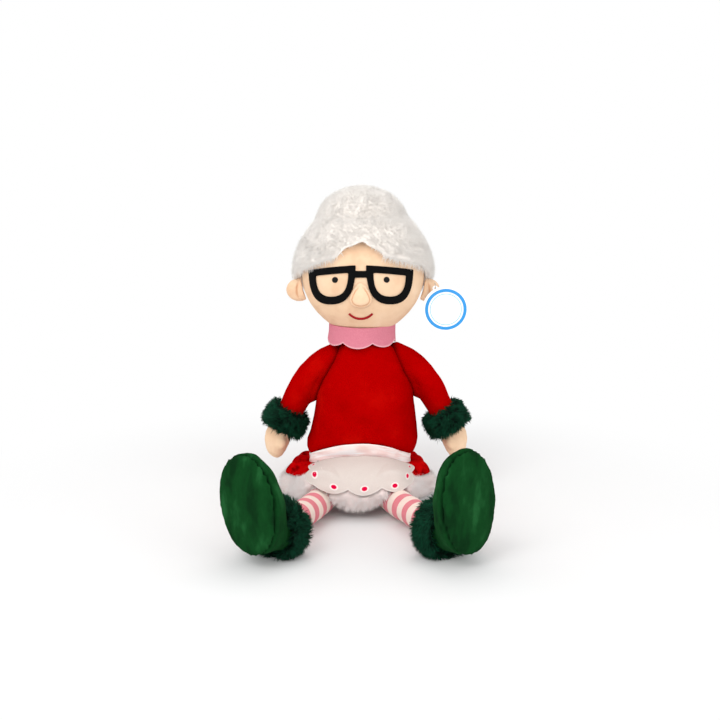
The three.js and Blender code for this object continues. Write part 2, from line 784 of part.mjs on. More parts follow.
function legFrame(leg) {
  const splay = THREE.MathUtils.degToRad(leg.splay) * Math.sign(leg.hipX - seatShift);
  const rise = (ankleHeight - hipHeight) / leg.length;
  const flat = Math.sqrt(1 - rise ** 2);
  const forward = new THREE.Vector3(Math.sin(splay) * flat, -Math.cos(splay) * flat, rise);
  const across = new THREE.Vector3().crossVectors(forward, upZ).normalize();
  const upward = new THREE.Vector3().crossVectors(across, forward);
  return frameAt(new THREE.Vector3(leg.hipX, leg.hipY, hipHeight), across, upward.clone().negate(), forward);
}

function legStations(length) {
  return [
    [-legRadius, 0, 0],
    [-0.86 * legRadius, 0.51 * legRadius, 0.51 * legRadius],
    [-0.5 * legRadius, 0.86 * legRadius, 0.86 * legRadius],
    [0, legRadius, legRadius],
    [0.35 * length, 1.04 * legRadius, 1.04 * legRadius],
    [0.7 * length, legRadius, legRadius],
    [length, 0.97 * legRadius, 0.97 * legRadius],
    [length + 0.5 * legRadius, 0.84 * legRadius, 0.84 * legRadius],
    [length + 0.84 * legRadius, 0.5 * legRadius, 0.5 * legRadius],
    [length + 0.97 * legRadius, 0, 0],
  ];
}

const legShape = (leg, grow) => placed(stuffed(legStations(leg.length), 20, 12, grow), legFrame(leg));

// The space that a leg sweeps as it turns about the side-to-side axis of its hip: the leg at both
// stops, and the slanted slot between them.
function legSweep(leg) {
  const clearance = 1.6;
  const reach = 130;
  const hip = new THREE.Vector3(leg.hipX, leg.hipY, hipHeight);
  const stopAt = (degrees) => {
    const turn = new THREE.Matrix4().makeRotationX(THREE.MathUtils.degToRad(degrees));
    const geometry = stuffed(legStations(leg.length), 14, 9, clearance).applyMatrix4(legFrame(leg));
    geometry.translate(-hip.x, -hip.y, -hip.z).applyMatrix4(turn).translate(hip.x, hip.y, hip.z);
    return toSolid(geometry);
  };
  const splay = THREE.MathUtils.degToRad(leg.splay) * Math.sign(leg.hipX - seatShift);
  const half = (1.04 * legRadius + clearance) / Math.cos(splay);
  const drift = reach * Math.tan(splay);
  const profile = [[0, -half], [reach, drift - half], [reach, drift + half], [0, half]];
  const disc = new THREE.LatheGeometry(profile.map(([r, x]) => new THREE.Vector2(r, x)), 24);
  disc.rotateZ(-Math.PI / 2).translate(hip.x, hip.y, hip.z);
  const wedge = new THREE.Shape();
  wedge.moveTo(0, 0);
  for (const degrees of [-legDrop, -legDrop / 2, 0, legLift]) {
    const angle = THREE.MathUtils.degToRad(degrees);
    wedge.lineTo(2 * reach * Math.cos(angle), 2 * reach * Math.sin(angle));
  }
  const slab = new THREE.ExtrudeGeometry(wedge, { depth: 4 * reach, bevelEnabled: false });
  slab.translate(0, 0, -2 * reach);
  const wedgeFrame = frameAt(hip, frontY.clone().negate(), upZ, sideX.clone().negate());
  return join(toSolid(disc).intersect(placed(slab, wedgeFrame)), stopAt(-legLift), stopAt(legDrop));
}

function bootFrame(leg) {
  const outward = Math.sign(leg.hipX - seatShift);
  const splay = THREE.MathUtils.degToRad(leg.bootSplay) * outward;
  const lean = THREE.MathUtils.degToRad(leg.bootLean) * outward;
  const forward = new THREE.Vector3(Math.sin(splay), -Math.cos(splay), 0);
  const ankle = new THREE.Vector3(0, 0, leg.length).applyMatrix4(legFrame(leg));
  const toe = upZ.clone().applyAxisAngle(forward, -lean);
  const across = new THREE.Vector3().crossVectors(toe, forward);
  return frameAt(ankle, across, toe, forward);
}

// The sole's outline: a long egg, wide at the toe and narrower at the heel, drawn on the boot's frame.
function soleOutline(shrink = 0) {
  const low = -bootHeelHeight + shrink;
  const high = bootHeight - bootHeelHeight - shrink;
  const half = bootHalfWidth - shrink;
  const shape = new THREE.Shape();
  const widest = low + 0.48 * (high - low);
  shape.moveTo(0, low);
  shape.bezierCurveTo(0.66 * half, low, 0.93 * half, low + 0.22 * (high - low), half, widest);
  shape.bezierCurveTo(1.02 * half, high - 0.2 * (high - low), 0.62 * half, high, 0, high);
  shape.bezierCurveTo(-0.62 * half, high, -1.02 * half, high - 0.2 * (high - low), -half, widest);
  shape.bezierCurveTo(-0.93 * half, low + 0.22 * (high - low), -0.66 * half, low, 0, low);
  return shape;
}

// Points of the sole's outline, so that the upper and the sole share one edge.
const outlineCount = 28;
const soleEdge = soleOutline().getSpacedPoints(outlineCount).slice(0, outlineCount);
const soleMiddle = (bootHeight - 2 * bootHeelHeight) / 2;

// A stuffed sole panel: the outline's edge, domed outwards and flat behind.
function soleGeometry() {
  return closedSkin((u, v) => {
    const edge = soleEdge[Math.round(u * outlineCount) % outlineCount];
    const front = v > 0.5;
    const spread = Math.sin(Math.min(v, 1 - v) * Math.PI);
    const height = front ? soleThickness * (0.35 + 0.65 * Math.cos(spread ** 2 * Math.PI / 2)) : 0;
    const y = soleMiddle + (edge.y - soleMiddle) * spread;
    return new THREE.Vector3(edge.x * spread, y, bootReach - soleThickness + height);
  }, outlineCount, 6);
}

// The upper: a straight shaft round the ankle, then a stuffed foot that widens to the sole's edge.
function upperGeometry() {
  const back = bootReach - soleThickness - seamGap;
  const shaftRows = 2;
  const footRows = 6;
  const backRows = 2;
  const rows = shaftRows + footRows + backRows;
  return closedSkin((u, v) => {
    const row = Math.round(v * rows);
    const edge = soleEdge[Math.round(u * outlineCount) % outlineCount];
    const angle = Math.atan2(edge.y, edge.x);
    const shaft = new THREE.Vector2(Math.cos(angle), Math.sin(angle)).multiplyScalar(bootShaftRadius);
    if (row <= shaftRows) {
      const spread = Math.min(row, 1);
      const z = row === shaftRows ? bootShaftEnd : bootShaftStart;
      return new THREE.Vector3(shaft.x * spread, shaft.y * spread, z);
    }
    if (row > shaftRows + footRows) {
      const spread = (rows - row) / backRows;
      return new THREE.Vector3(edge.x * spread, soleMiddle + (edge.y - soleMiddle) * spread, back);
    }
    const turn = (row - shaftRows) / footRows * Math.PI / 2;
    const out = Math.sin(turn);
    return new THREE.Vector3(
      THREE.MathUtils.lerp(shaft.x, edge.x, out),
      THREE.MathUtils.lerp(shaft.y, edge.y, out),
      bootShaftEnd + (back - bootShaftEnd) * (1 - Math.cos(turn)),
    );
  }, outlineCount, rows);
}

const legs = { right: rightLeg, left: leftLeg };
const floor = halfSpace(new THREE.Vector3(), upZ.clone().negate());
const ankleBore = legRadius + seamGap + 4 + ankleCuffLength / 2 * Math.tan(ankleSwing);
const shaftBore = bootShaftRadius + seamGap;
const ankleCuffProfile = [
  [ankleBore, -ankleCuffLength / 2 + 1],
  [ankleCuffRadius - cuffPileDepth, -ankleCuffLength / 2],
  [ankleCuffRadius, -0.2 * ankleCuffLength],
  [ankleCuffRadius, 0.2 * ankleCuffLength],
  [ankleCuffRadius - cuffPileDepth, ankleCuffLength / 2],
  [shaftBore + 1, ankleCuffLength / 2 - 1],
  [shaftBore, 0],
  [ankleBore, -1],
];

for (const [side, leg] of Object.entries(legs)) {
  const frame = bootFrame(leg);
  const ankle = new THREE.Vector3(0, 0, leg.length).applyMatrix4(legFrame(leg));
  const upper = cut(placed(upperGeometry(), frame), toSolid(socketGeometry(ankle, 0.97 * legRadius)), floor);
  addPiece(`${side}_leg`, legShape(leg, 0), 'stripes');
  addPiece(`${side}_boot`, upper, 'green');
  addPiece(`${side}_boot_sole`, cut(placed(soleGeometry(), frame), floor), 'green');
  addPiece(`${side}_ankle_cuff`, cut(placed(ring(ankleCuffProfile, 24), frame), floor), 'greenFur');
}

// Lower body with the pellet bag in its hollow

const bagCentre = new THREE.Vector3(seatShift, bagSetBack, bagFloor + bagHeight / 2);
function bagShape(grow) {
  const half = bagHeight / 2;
  const geometry = stuffed([
    [-half, 0, 0],
    [-0.9 * half, 0.6 * bagHalfWidth, 0.6 * bagHalfDepth],
    [-0.5 * half, 0.92 * bagHalfWidth, 0.92 * bagHalfDepth],
    [0, bagHalfWidth, bagHalfDepth],
    [0.5 * half, 0.9 * bagHalfWidth, 0.9 * bagHalfDepth],
    [0.85 * half, 0.6 * bagHalfWidth, 0.6 * bagHalfDepth],
    [half, 0, 0],
  ], 14, 8, grow);
  geometry.translate(bagCentre.x, bagCentre.y, bagCentre.z);
  return toSolid(geometry);
}

const bagWell = new THREE.CylinderGeometry(1, 1, 100, 14);
bagWell.rotateX(Math.PI / 2);
bagWell.scale(0.9 * bagHalfWidth, 0.9 * bagHalfDepth, 1);
bagWell.translate(bagCentre.x, bagCentre.y, bagCentre.z + 50);
const lowerBody = cut(
  bodyShape().intersect(belowWaist),
  floor,
  join(bagShape(seamGap), toSolid(bagWell)),
  legSweep(rightLeg),
  legSweep(leftLeg),
);
addPiece('lower_body', lowerBody, 'lining');
addPiece('seat_pellet_bag', bagShape(0), 'card');

// Skirt, trim, waistband and apron. They go round the body by an angle from the front, and the lap
// over each leg pushes the hem forward and lifts it.

const skirtLegs = Object.values(legs).map((leg) => {
  const splay = THREE.MathUtils.degToRad(leg.splay) * Math.sign(leg.hipX - seatShift);
  const x = leg.hipX - skirtShift + Math.sin(splay) * lapReach;
  return Math.atan2(x, lapReach * Math.cos(splay) - leg.hipY);
});

// How much of the lap there is at an angle: all of it over the legs, and a share of it between them.
function lapAt(angle, between) {
  const [first, last] = skirtLegs;
  if (angle > first && angle < last) {
    return 1 - (1 - between) * Math.sin((angle - first) / (last - first) * Math.PI) ** 2;
  }
  return Math.exp(-((Math.max(first - angle, angle - last) / lapHalfAngle) ** 2.5));
}

function hemPoint(angle, outward = 0) {
  const lap = lapAt(angle, lapBetween);
  const fold = skirtFoldDepth * Math.cos(angle * skirtFolds) * (1 - lap);
  return new THREE.Vector3(
    skirtShift + (skirtHalfWidth + fold + outward) * Math.sin(angle),
    -(skirtHalfDepth + fold + outward) * Math.cos(angle) - lapOverLeg * lap,
    trimHalfHeight + trimClearance + lapRise * lapAt(angle, riseBetween),
  );
}

// The waist's outline outside the lower body, on cloth of a thickness whose inner edge meets the waist seam.
function waistPointAt(angle, outward, thickness, drop) {
  const x = seatShift + (waistHalfWidth + outward) * Math.sin(angle);
  const y = -(waistHalfDepth + outward) * Math.cos(angle);
  return new THREE.Vector3(x, y, waistAt(y + thickness * Math.cos(angle)) - seamGap - drop);
}

// A point on the trim's rounded section, grown all round. At 0 it faces outwards and at 90 degrees up.
function onTrim(angle, turn, grow) {
  const centre = hemPoint(angle);
  const out = hemPoint(angle, 1).sub(centre).normalize();
  centre.addScaledVector(out, (trimHalfThickness + grow) * Math.cos(turn));
  return centre.addScaledVector(upZ, (trimHalfHeight + grow) * Math.sin(turn));
}

const turnOf = (u) => u * Math.PI * 2 - Math.PI;
function bandDropAt(angle) {
  return waistbandSide + (waistbandFront - waistbandSide) * Math.max(0, Math.cos(angle)) ** 2;
}

// The skirt's outer side: upright under the waistband, then flaring out to the top of its trim.
const skirtColumns = 54;
const skirtRows = 6;
const bandShare = 2 / skirtRows;
const skirtOutward = clothEase + skirtThickness;
const skirtBulge = 4;
const skirtOnTrim = THREE.MathUtils.degToRad(85);
function skirtSurface(u, v) {
  const angle = turnOf(u);
  const drop = bandDropAt(angle) * Math.min(v / bandShare, 1);
  const top = waistPointAt(angle, skirtOutward, skirtThickness, drop);
  if (v <= bandShare) {
    return top;
  }
  const share = (v - bandShare) / (1 - bandShare);
  const hem = onTrim(angle, skirtOnTrim, skirtThickness + 2 * seamGap);
  const point = top.lerp(hem, share);
  point.z += skirtBulge * Math.sin(share * Math.PI);
  return point;
}

const skirtTube = cloth(skirtSurface, skirtThickness, skirtColumns, skirtRows, true);

const trimRing = (grow) => toSolid(closedBand(
  (u, v) => onTrim(turnOf(u), v * Math.PI * 2, grow),
  skirtColumns,
  8,
));
const legCutters = Object.values(legs).map((leg) => legShape(leg, seamGap));
const trim = cut(trimRing(0), ...legCutters, bodyShape(seamGap));
addPiece('skirt_trim', trim, 'whiteFur');
const skirt = cut(toSolid(skirtTube), ...legCutters);
addPiece('skirt', skirt, 'sweater');

const bandOutward = skirtOutward + seamGap + ribbonThickness;
function bandSurface(u, v) {
  const angle = turnOf(u);
  return waistPointAt(angle, bandOutward, ribbonThickness, bandDropAt(angle) * v);
}
addPiece('apron_waistband', toSolid(cloth(bandSurface, ribbonThickness, skirtColumns, 1, true)), 'ribbon');

// The apron lies on the front of the skirt from the ribbon down, and its scalloped hem hangs over the fur.
const apronLift = feltThickness + 10 * seamGap;
const apronStart = bandShare + apronTopEase;
const apronOverTrim = THREE.MathUtils.degToRad(70);
function apronSurface(u, v) {
  const side = 2 * u - 1;
  const down = v * (1 - apronRounding * Math.abs(side) ** 3);
  const angle = side * THREE.MathUtils.lerp(apronHalfAngle, apronHemHalfAngle, down);
  const skirtU = (angle + Math.PI) / (Math.PI * 2);
  if (down <= 0.5) {
    return lifted(skirtSurface, apronLift)(skirtU, apronStart + (1 - apronStart) * 2 * down);
  }
  const scallop = Math.abs(Math.cos(u * Math.PI * apronScallops));
  const rise = (apronHem + apronScallopDepth * (1 - scallop)) / (trimHalfHeight + apronLift);
  const turn = apronOverTrim + (Math.asin(rise) - apronOverTrim) * (2 * down - 1);
  return onTrim(angle, turn, apronLift);
}
const apron = cloth(apronSurface, feltThickness, 40, 6, false);
addPiece('apron', cut(toSolid(apron), ...legCutters, trimRing(seamGap)), 'apron');

// Swing tag on its loop at the doll's left ear

addPiece('tag_loop', tagLoop(0), 'card');

const tagUp = tagDown.clone().negate();
const tagFace = frontY.clone().negate();
const tagFrame = frameAt(tagHole, new THREE.Vector3().crossVectors(tagUp, tagFace), tagUp, tagFace);

function tagDisc(radius, drop, thickness, sides) {
  const geometry = new THREE.CylinderGeometry(radius, radius, thickness, sides);
  geometry.rotateX(Math.PI / 2).translate(0, -drop, 0);
  return placed(geometry, tagFrame);
}

const tagTab = tagDisc(tagTabRadius, 0, tagThickness, 16);
const card = join(tagDisc(tagRadius, tagHoleReach, tagThickness, 48), tagTab);
addPiece('hang_tag', cut(card, tagDisc(tagHoleRadius, 0, 4 * tagThickness, 10)), 'card');

export default doll;
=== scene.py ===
# Seated plush granny doll, dressed over its CAD frame. Sizes are in millimetres and turned to metres
# by MM. The doll faces -Y, and its own right hand is on the -X side.

import json
import math

import bpy
import numpy as np
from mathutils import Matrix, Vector, noise
from mathutils.bvhtree import BVHTree

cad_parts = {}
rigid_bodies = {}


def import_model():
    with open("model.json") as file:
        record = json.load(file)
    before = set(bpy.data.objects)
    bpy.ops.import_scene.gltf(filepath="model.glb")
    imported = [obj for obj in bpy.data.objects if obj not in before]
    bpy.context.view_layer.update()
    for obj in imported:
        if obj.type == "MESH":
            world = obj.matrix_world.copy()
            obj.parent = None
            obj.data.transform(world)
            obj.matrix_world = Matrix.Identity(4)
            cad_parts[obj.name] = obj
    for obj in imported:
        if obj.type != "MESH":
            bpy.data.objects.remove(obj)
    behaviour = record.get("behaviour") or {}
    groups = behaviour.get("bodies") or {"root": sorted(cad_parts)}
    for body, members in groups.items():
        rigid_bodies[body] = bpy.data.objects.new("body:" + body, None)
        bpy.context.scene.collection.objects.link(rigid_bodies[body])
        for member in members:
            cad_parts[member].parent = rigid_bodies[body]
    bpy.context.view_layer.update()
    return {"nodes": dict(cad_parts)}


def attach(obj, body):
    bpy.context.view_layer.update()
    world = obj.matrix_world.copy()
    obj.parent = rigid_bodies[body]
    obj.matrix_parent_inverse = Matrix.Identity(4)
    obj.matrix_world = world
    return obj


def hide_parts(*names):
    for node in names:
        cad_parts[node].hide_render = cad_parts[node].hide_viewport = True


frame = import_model()
scene = bpy.context.scene

MM = 0.001
FACE_TILT = math.radians(12.5)
FACE_ORIGIN = Vector((0, 0, 283))
FACE_UP = Vector((0, math.sin(FACE_TILT), math.cos(FACE_TILT)))
FACE_OUT = Vector((0, -math.cos(FACE_TILT), math.sin(FACE_TILT)))
FACE_MIDDLE = -3


# Small helpers for modelling

def alone(piece):
    """Leave nothing selected but one piece."""
    bpy.ops.object.select_all(action="DESELECT")
    piece.select_set(True)
    bpy.context.view_layer.objects.active = piece
    return piece


def fixed(piece, kind, **settings):
    """Put one modifier on a piece and apply it."""
    modifier = piece.modifiers.new(kind.title(), kind)
    for key, value in settings.items():
        setattr(modifier, key, value)
    alone(piece)
    bpy.ops.object.modifier_apply(modifier=modifier.name)
    return piece


def evened(piece, voxel, times):
    """One even skin over a piece, its corners softened."""
    fixed(piece, "REMESH", mode="VOXEL", voxel_size=voxel)
    return fixed(piece, "SMOOTH", factor=0.5, iterations=times)


def in_edit_mode(piece, *steps):
    alone(piece)
    bpy.ops.object.mode_set(mode="EDIT")
    bpy.ops.mesh.select_all(action="SELECT")
    for step in steps:
        step()
    bpy.ops.object.mode_set(mode="OBJECT")
    return piece


def merged():
    bpy.ops.mesh.remove_doubles(threshold=0.00001)


def outward():
    bpy.ops.mesh.normals_make_consistent(inside=False)


def placed(name, data):
    """A new object in the scene."""
    made = bpy.data.objects.new(name, data)
    scene.collection.objects.link(made)
    return made


def pattern_of(node, name):
    """A piece cut to the pattern of a CAD node: a copy of its mesh with the loose triangles merged."""
    piece = placed(name, frame["nodes"][node].data.copy())
    piece.data.materials.clear()
    return in_edit_mode(piece, merged)


def points_of(piece, what="co"):
    values = np.empty(len(piece.data.vertices) * 3)
    piece.data.vertices.foreach_get(what, values)
    return values.reshape(-1, 3)


def normals_of(piece):
    return points_of(piece, "normal")


def moved_to(piece, points):
    piece.data.vertices.foreach_set("co", np.asarray(points, dtype=float).ravel())
    piece.data.update()
    return piece


def pushed(piece, push):
    """Move each point along its normal by its own distance in millimetres."""
    return moved_to(piece, points_of(piece) + normals_of(piece) * np.asarray(push)[:, None] * MM)


def lumps(piece, size, depth, seed=0.0):
    """Soft unevenness of the filling: hills of one size and depth."""
    spots = points_of(piece) / MM / size + np.array([seed, -seed, 0])
    return pushed(piece, [depth * noise.noise(Vector(spot)) for spot in spots])


def marked(piece, name, values):
    """Give each point of a piece a number that its material reads."""
    data = piece.data.attributes.get(name) or piece.data.attributes.new(name, "FLOAT", "POINT")
    data.data.foreach_set("value", np.asarray(values, dtype=np.float32))
    return piece


def skin_of(piece):
    return BVHTree.FromObject(piece, bpy.context.evaluated_depsgraph_get())


def distance_to(skin, points):
    """How far each point is from a skin, in millimetres."""
    return np.array([skin.find_nearest(Vector(point))[3] for point in points]) / MM


def step_between(values, low, high):
    share = np.clip((np.asarray(values) - low) / (high - low), 0, 1)
    return share * share * (3 - 2 * share)


PUFF_PRESSURE = 4.0
PUFF_STEPS = 20


def puffed(piece, cap):
    """Blow the filling into a sewn piece with the cloth solver, and limit how far its skin moves."""
    before = points_of(piece)
    cloth = piece.modifiers.new("Cloth", "CLOTH")
    cloth.settings.use_pressure = True
    cloth.settings.uniform_pressure_force = PUFF_PRESSURE
    cloth.settings.effector_weights.gravity = 0
    cloth.point_cache.frame_end = PUFF_STEPS
    for step in range(1, PUFF_STEPS + 1):
        scene.frame_set(step)
    alone(piece)
    bpy.ops.object.modifier_apply(modifier=cloth.name)
    scene.frame_set(1)
    step = points_of(piece) - before
    reach = np.linalg.norm(step, axis=1, keepdims=True)
    keep = np.minimum(1, cap * MM / np.maximum(reach, 1e-9))
    return moved_to(piece, before + step * keep)


def stuffed(node, voxel=3.0, softness=4, depth=1.2, puff=3.0, lump=(34, 1.2), subdivide=1, seed=0.0):
    """A stuffed piece: the node's pattern as one even skin, filled by the cloth solver."""
    piece = evened(pattern_of(node, "plush_" + node), voxel * MM, softness)
    if puff:
        pushed(piece, np.full(len(piece.data.vertices), -depth))
        puffed(piece, cap=puff)
    if lump:
        lumps(piece, *lump, seed=seed)
    if subdivide:
        fixed(piece, "SUBSURF", levels=subdivide, render_levels=subdivide)
    return smooth(piece)


def smooth(piece):
    alone(piece)
    bpy.ops.object.shade_smooth()
    return piece


def sewn_to(piece, skin, reach, flat=4.5, sink=1.2):
    """Draw the side of a piece that lies near another one's skin up against it, as stitching does."""
    points = points_of(piece)
    for i, point in enumerate(points):
        spot, normal, _, away = skin.find_nearest(Vector(point))
        if away > reach * MM:
            continue
        share = float(step_between(reach - away / MM, 0, reach - flat))
        target = spot - normal * sink * MM
        points[i] += (np.array(target) - point) * share
    return moved_to(piece, points)


PUCKER_REACH, PUCKER_SIZE = 6, 4.5


def creased(piece, skin, width, depth, pucker=0.0):
    """Press stitching into a piece along the edge of a skin, and mark it for the painted shade that darkens
    it.
    """
    points = points_of(piece)
    away = distance_to(skin, points)
    seam = np.exp(-(away / width) ** 2)
    push = -depth * seam
    if pucker:
        near = np.exp(-np.maximum(away - 1, 0) / PUCKER_REACH)
        push += pucker * near * np.array([noise.noise(Vector(p / MM / PUCKER_SIZE)) for p in points])
    pushed(piece, push)
    # Its profile is kept for the painted shade in the crease.
    return marked(piece, "seam", seam)


def dressed(piece, body, slot, material, *nodes, fill=None):
    """Finish a piece, fix it to its body and hide the nodes that it stands for. Its filling is not used."""
    if not piece.data.materials:
        piece.data.materials.append(material)
    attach(piece, body)
    if nodes:
        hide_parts(*nodes)
    return piece


# Materials

class Wire:
    """A shader socket that takes plain arithmetic."""

    def __init__(self, paint, socket):
        self.paint = paint
        self.socket = socket

    def maths(self, operation, *inputs):
        return self.paint.node("Math", {"operation": operation}, dict(enumerate(inputs)))

    def __add__(self, other):
        return self.maths("ADD", self, other)

    def __radd__(self, other):
        return self.maths("ADD", other, self)

    def __sub__(self, other):
        return self.maths("SUBTRACT", self, other)

    def __rsub__(self, other):
        return self.maths("SUBTRACT", other, self)

    def __mul__(self, other):
        return self.maths("MULTIPLY", self, other)

    def __rmul__(self, other):
        return self.maths("MULTIPLY", other, self)

    def between(self, low, high):
        """0 under low, 1 over high and a smooth step from one to the other."""
        return self.paint.node("MapRange", {"interpolation_type": "SMOOTHSTEP"},
                               {"Value": self, "From Min": low, "From Max": high})


class Paint:
    """A material in the making, or a world."""

    def __init__(self, name, kind="materials"):
        self.made = getattr(bpy.data, kind).new(name)
        self.made.use_nodes = True
        self.tree = self.made.node_tree
        self.tree.nodes.clear()

    def node(self, kind, settings=None, inputs=None, output=0):
        made = self.tree.nodes.new("ShaderNode" + kind)
        for key, value in (settings or {}).items():
            setattr(made, key, value)
        for key, value in (inputs or {}).items():
            if isinstance(value, Wire):
                self.tree.links.new(value.socket, made.inputs[key])
            elif isinstance(value, tuple) and made.inputs[key].type == "RGBA":
                made.inputs[key].default_value = (*value, 1)
            else:
                made.inputs[key].default_value = value
        return Wire(self, made.outputs[output]) if made.outputs else None

    def place(self):
        """Object coordinates in millimetres."""
        spot = self.node("TexCoord", output=3)
        return self.node("VectorMath", {"operation": "SCALE"}, {0: spot, "Scale": 1 / MM})

    def grain(self, size, detail=2.0, roughness=0.5, stretch=None, at=None):
        """Noise from 0 to 1 whose hills have a size in millimetres."""
        at = at or self.place()
        if stretch:
            at = self.node("VectorMath", {"operation": "MULTIPLY"}, {0: at, 1: stretch})
        return self.node("TexNoise", inputs={
            "Vector": at, "Scale": 1 / size, "Detail": detail, "Roughness": roughness})

    def number(self, name):
        """A number that each point of the piece carries."""
        return self.node("Attribute", {"attribute_name": name}, output=2)

    def mixed(self, share, first, second):
        return self.node("Mix", {"data_type": "RGBA"}, {0: share, 6: first, 7: second}, output=2)

    def bump(self, height, depth, strength=1.0):
        return self.node("Bump", inputs={"Height": height, "Distance": depth * MM, "Strength": strength})

    def far_from(self, place, spot=None):
        return self.node("VectorMath", {"operation": "DISTANCE"}, {0: spot or self.place(), 1: place}, 1)

    def ends_in(self, shader, out="OutputMaterial"):
        self.node(out, inputs={"Surface": shader})
        return self.made

    def surface(self, settings):
        return self.ends_in(self.node("BsdfPrincipled", inputs=settings))

    def cloth(self, colour, bump, rough=0.95, shine=0.0, sheen=0.0, nap=0.5, tint=(1, 1, 1)):
        """The surface of cloth: shine is its gloss, and sheen the tinted glow of its nap seen aslant."""
        return self.surface({
            "Base Color": colour, "Roughness": rough, "Specular IOR Level": shine, "Sheen Weight": sheen,
            "Sheen Roughness": nap, "Sheen Tint": tint, "Normal": bump})


def srgb(red, green, blue):
    """A colour written from 0 to 255, as the shader needs it."""
    def straight(value):
        value /= 255
        return value / 12.92 if value <= 0.04045 else ((value + 0.055) / 1.055) ** 2.4
    return (straight(red), straight(green), straight(blue))


def plush_cloth(name, deep, plain, bright, seam=None, patch=26, pile=0.5, sheen=0.05, shine=0.05,
                streak=None):
    """Short pile that shows darker and lighter where it was brushed, with painted shade in its seams."""
    paint = Paint(name)
    brushed = paint.grain(patch, 3, 0.55, streak)
    fine = paint.grain(1.1, 2, 0.6)
    colour = paint.mixed(brushed.between(0.32, 0.52), deep, plain)
    colour = paint.mixed(brushed.between(0.52, 0.74) * 0.85, colour, bright)
    colour = paint.mixed((fine - 0.5) * 0.4 + 0.18, colour, deep)
    # Painted shade where seams are pressed in.
    colour = paint.mixed(paint.number("seam") * 0.75, colour, seam or deep)
    height = fine + paint.grain(0.5, 1) * 0.5 + brushed * 0.6
    return paint.cloth(colour, paint.bump(height, pile, 0.7), shine=shine, sheen=sheen, tint=bright)


def fur_cloth(name, root, middle, tip, patchy=0.35, shine=0.0, rough=0.9, sheen=0.0, bump=0.5):
    """Long pile: painted shade at the roots between the hairs, a painted highlight at their tips, and each
    hair a little different.
    """
    paint = Paint(name)
    along = paint.number("pile")
    shade = paint.number("shade")
    # From the root's painted shade up to the hair's own colour.
    colour = paint.mixed(along.between(0.0, 0.55), root, middle)
    # A painted highlight towards the tips, stronger on some hairs.
    colour = paint.mixed(along.between(0.4, 1.0) * (0.3 + shade * 0.7), colour, tip)
    colour = paint.mixed(paint.grain(12, 2).between(0.38, 0.66) * patchy, colour, root)
    return paint.cloth(colour, paint.bump(paint.grain(0.8, 2), 0.3, bump), rough, shine, sheen, 0.4, tip)


def felt_cloth(name, deep, plain, edge=None, printed=None):
    """Pressed wool: matt, with short loose fibres. Its cut edge is lighter, and dots may be printed."""
    paint = Paint(name)
    fibres = paint.grain(0.9, 4, 0.7, (1, 1, 0.45))
    cloud = paint.grain(12, 2)
    colour = paint.mixed(fibres.between(0.3, 0.7) * 0.6 + cloud * 0.25, deep, plain)
    if edge:
        colour = paint.mixed(1 - paint.number("to_edge").between(0.4, 2.6), colour, edge)
    if printed:
        ink, halo, radius, dots = printed
        spot = paint.node("UVMap", {"uv_map": "UVMap"})
        near = None
        for dot in dots:
            reach = paint.far_from((*dot, 0), spot)
            near = reach if near is None else near.maths("MINIMUM", near, reach)
        near = near + (paint.grain(1.2) - 0.5) * 0.5
        colour = paint.mixed((1 - near.between(radius + 1.0, radius + 2.6)) * 0.8, colour, halo)
        colour = paint.mixed(1 - near.between(radius - 0.3, radius + 0.3), colour, ink)
    return paint.cloth(colour, paint.bump(fibres, 0.3, 0.6), shine=0.08, sheen=0.05, tint=plain)


def thread_work(name, colour, light):
    """Sewing thread, twisted."""
    paint = Paint(name)
    twist = paint.grain(0.6, 2, 0.5)
    return paint.cloth(paint.mixed(twist, colour, light), paint.bump(twist, 0.15, 0.5), 0.5, 0.2)


def sheer_ribbon():
    """Thin woven ribbon: rosy where the red shows through, with painted white glints along it."""
    paint = Paint("sheer_ribbon")
    spot = paint.node("UVMap", {"uv_map": "UVMap"})
    painted_glint = paint.grain(1, 3, 0.6, (5, 3.2, 1), spot)
    weave = paint.grain(0.7, 2, 0.6)
    colour = paint.mixed(paint.grain(16, 2).between(0.3, 0.7), srgb(244, 214, 208), srgb(251, 234, 229))
    colour = paint.mixed(painted_glint.between(0.46, 0.6), colour, srgb(254, 250, 248))
    # A painted highlight along both folded edges.
    colour = paint.mixed((1 - paint.number("to_edge").between(0.2, 1.2)) * 0.8, colour, srgb(250, 234, 230))
    return paint.cloth(colour, paint.bump(weave, 0.12, 0.5), 0.4, 0.3, 0.1, 0.3)


def clear_nylon():
    """The clear loop of a swing tag."""
    paint = Paint("clear_nylon")
    drawn = paint.grain(2.5, 2, 0.5, (1, 1, 0.2))
    colour = paint.mixed(drawn, srgb(214, 218, 220), srgb(240, 243, 244))
    return paint.surface({
        "Base Color": colour, "Roughness": 0.18, "IOR": 1.5, "Transmission Weight": 0.55,
        "Normal": paint.bump(drawn, 0.05, 0.3)})


# Painted shade for the seams of the red plush.
SEAM_SHADE_RED = srgb(84, 0, 0)
red_plush = plush_cloth("red_plush", srgb(158, 0, 0), srgb(171, 0, 1), srgb(190, 10, 4), SEAM_SHADE_RED,
                        patch=42, sheen=0.03, shine=0.0)
skirt_red = plush_cloth("skirt_red", srgb(120, 0, 2), srgb(196, 4, 8), srgb(214, 20, 16), SEAM_SHADE_RED, patch=9,
                        sheen=0.03, shine=0.0)
# Its last colour is painted shade for the ear's fold and the nose's stitching.
skin_plush = plush_cloth("skin_plush", srgb(228, 190, 156), srgb(238, 205, 172), srgb(245, 216, 186),
                         srgb(204, 142, 102), patch=30, pile=0.3)
# Its last colour is painted shade where boot and sole are sewn together.
green_plush = plush_cloth("green_plush", srgb(8, 44, 18), srgb(14, 62, 26), srgb(34, 92, 48),
                          srgb(2, 20, 8), patch=20, sheen=0.04, streak=(1.2, 1, 0.45))
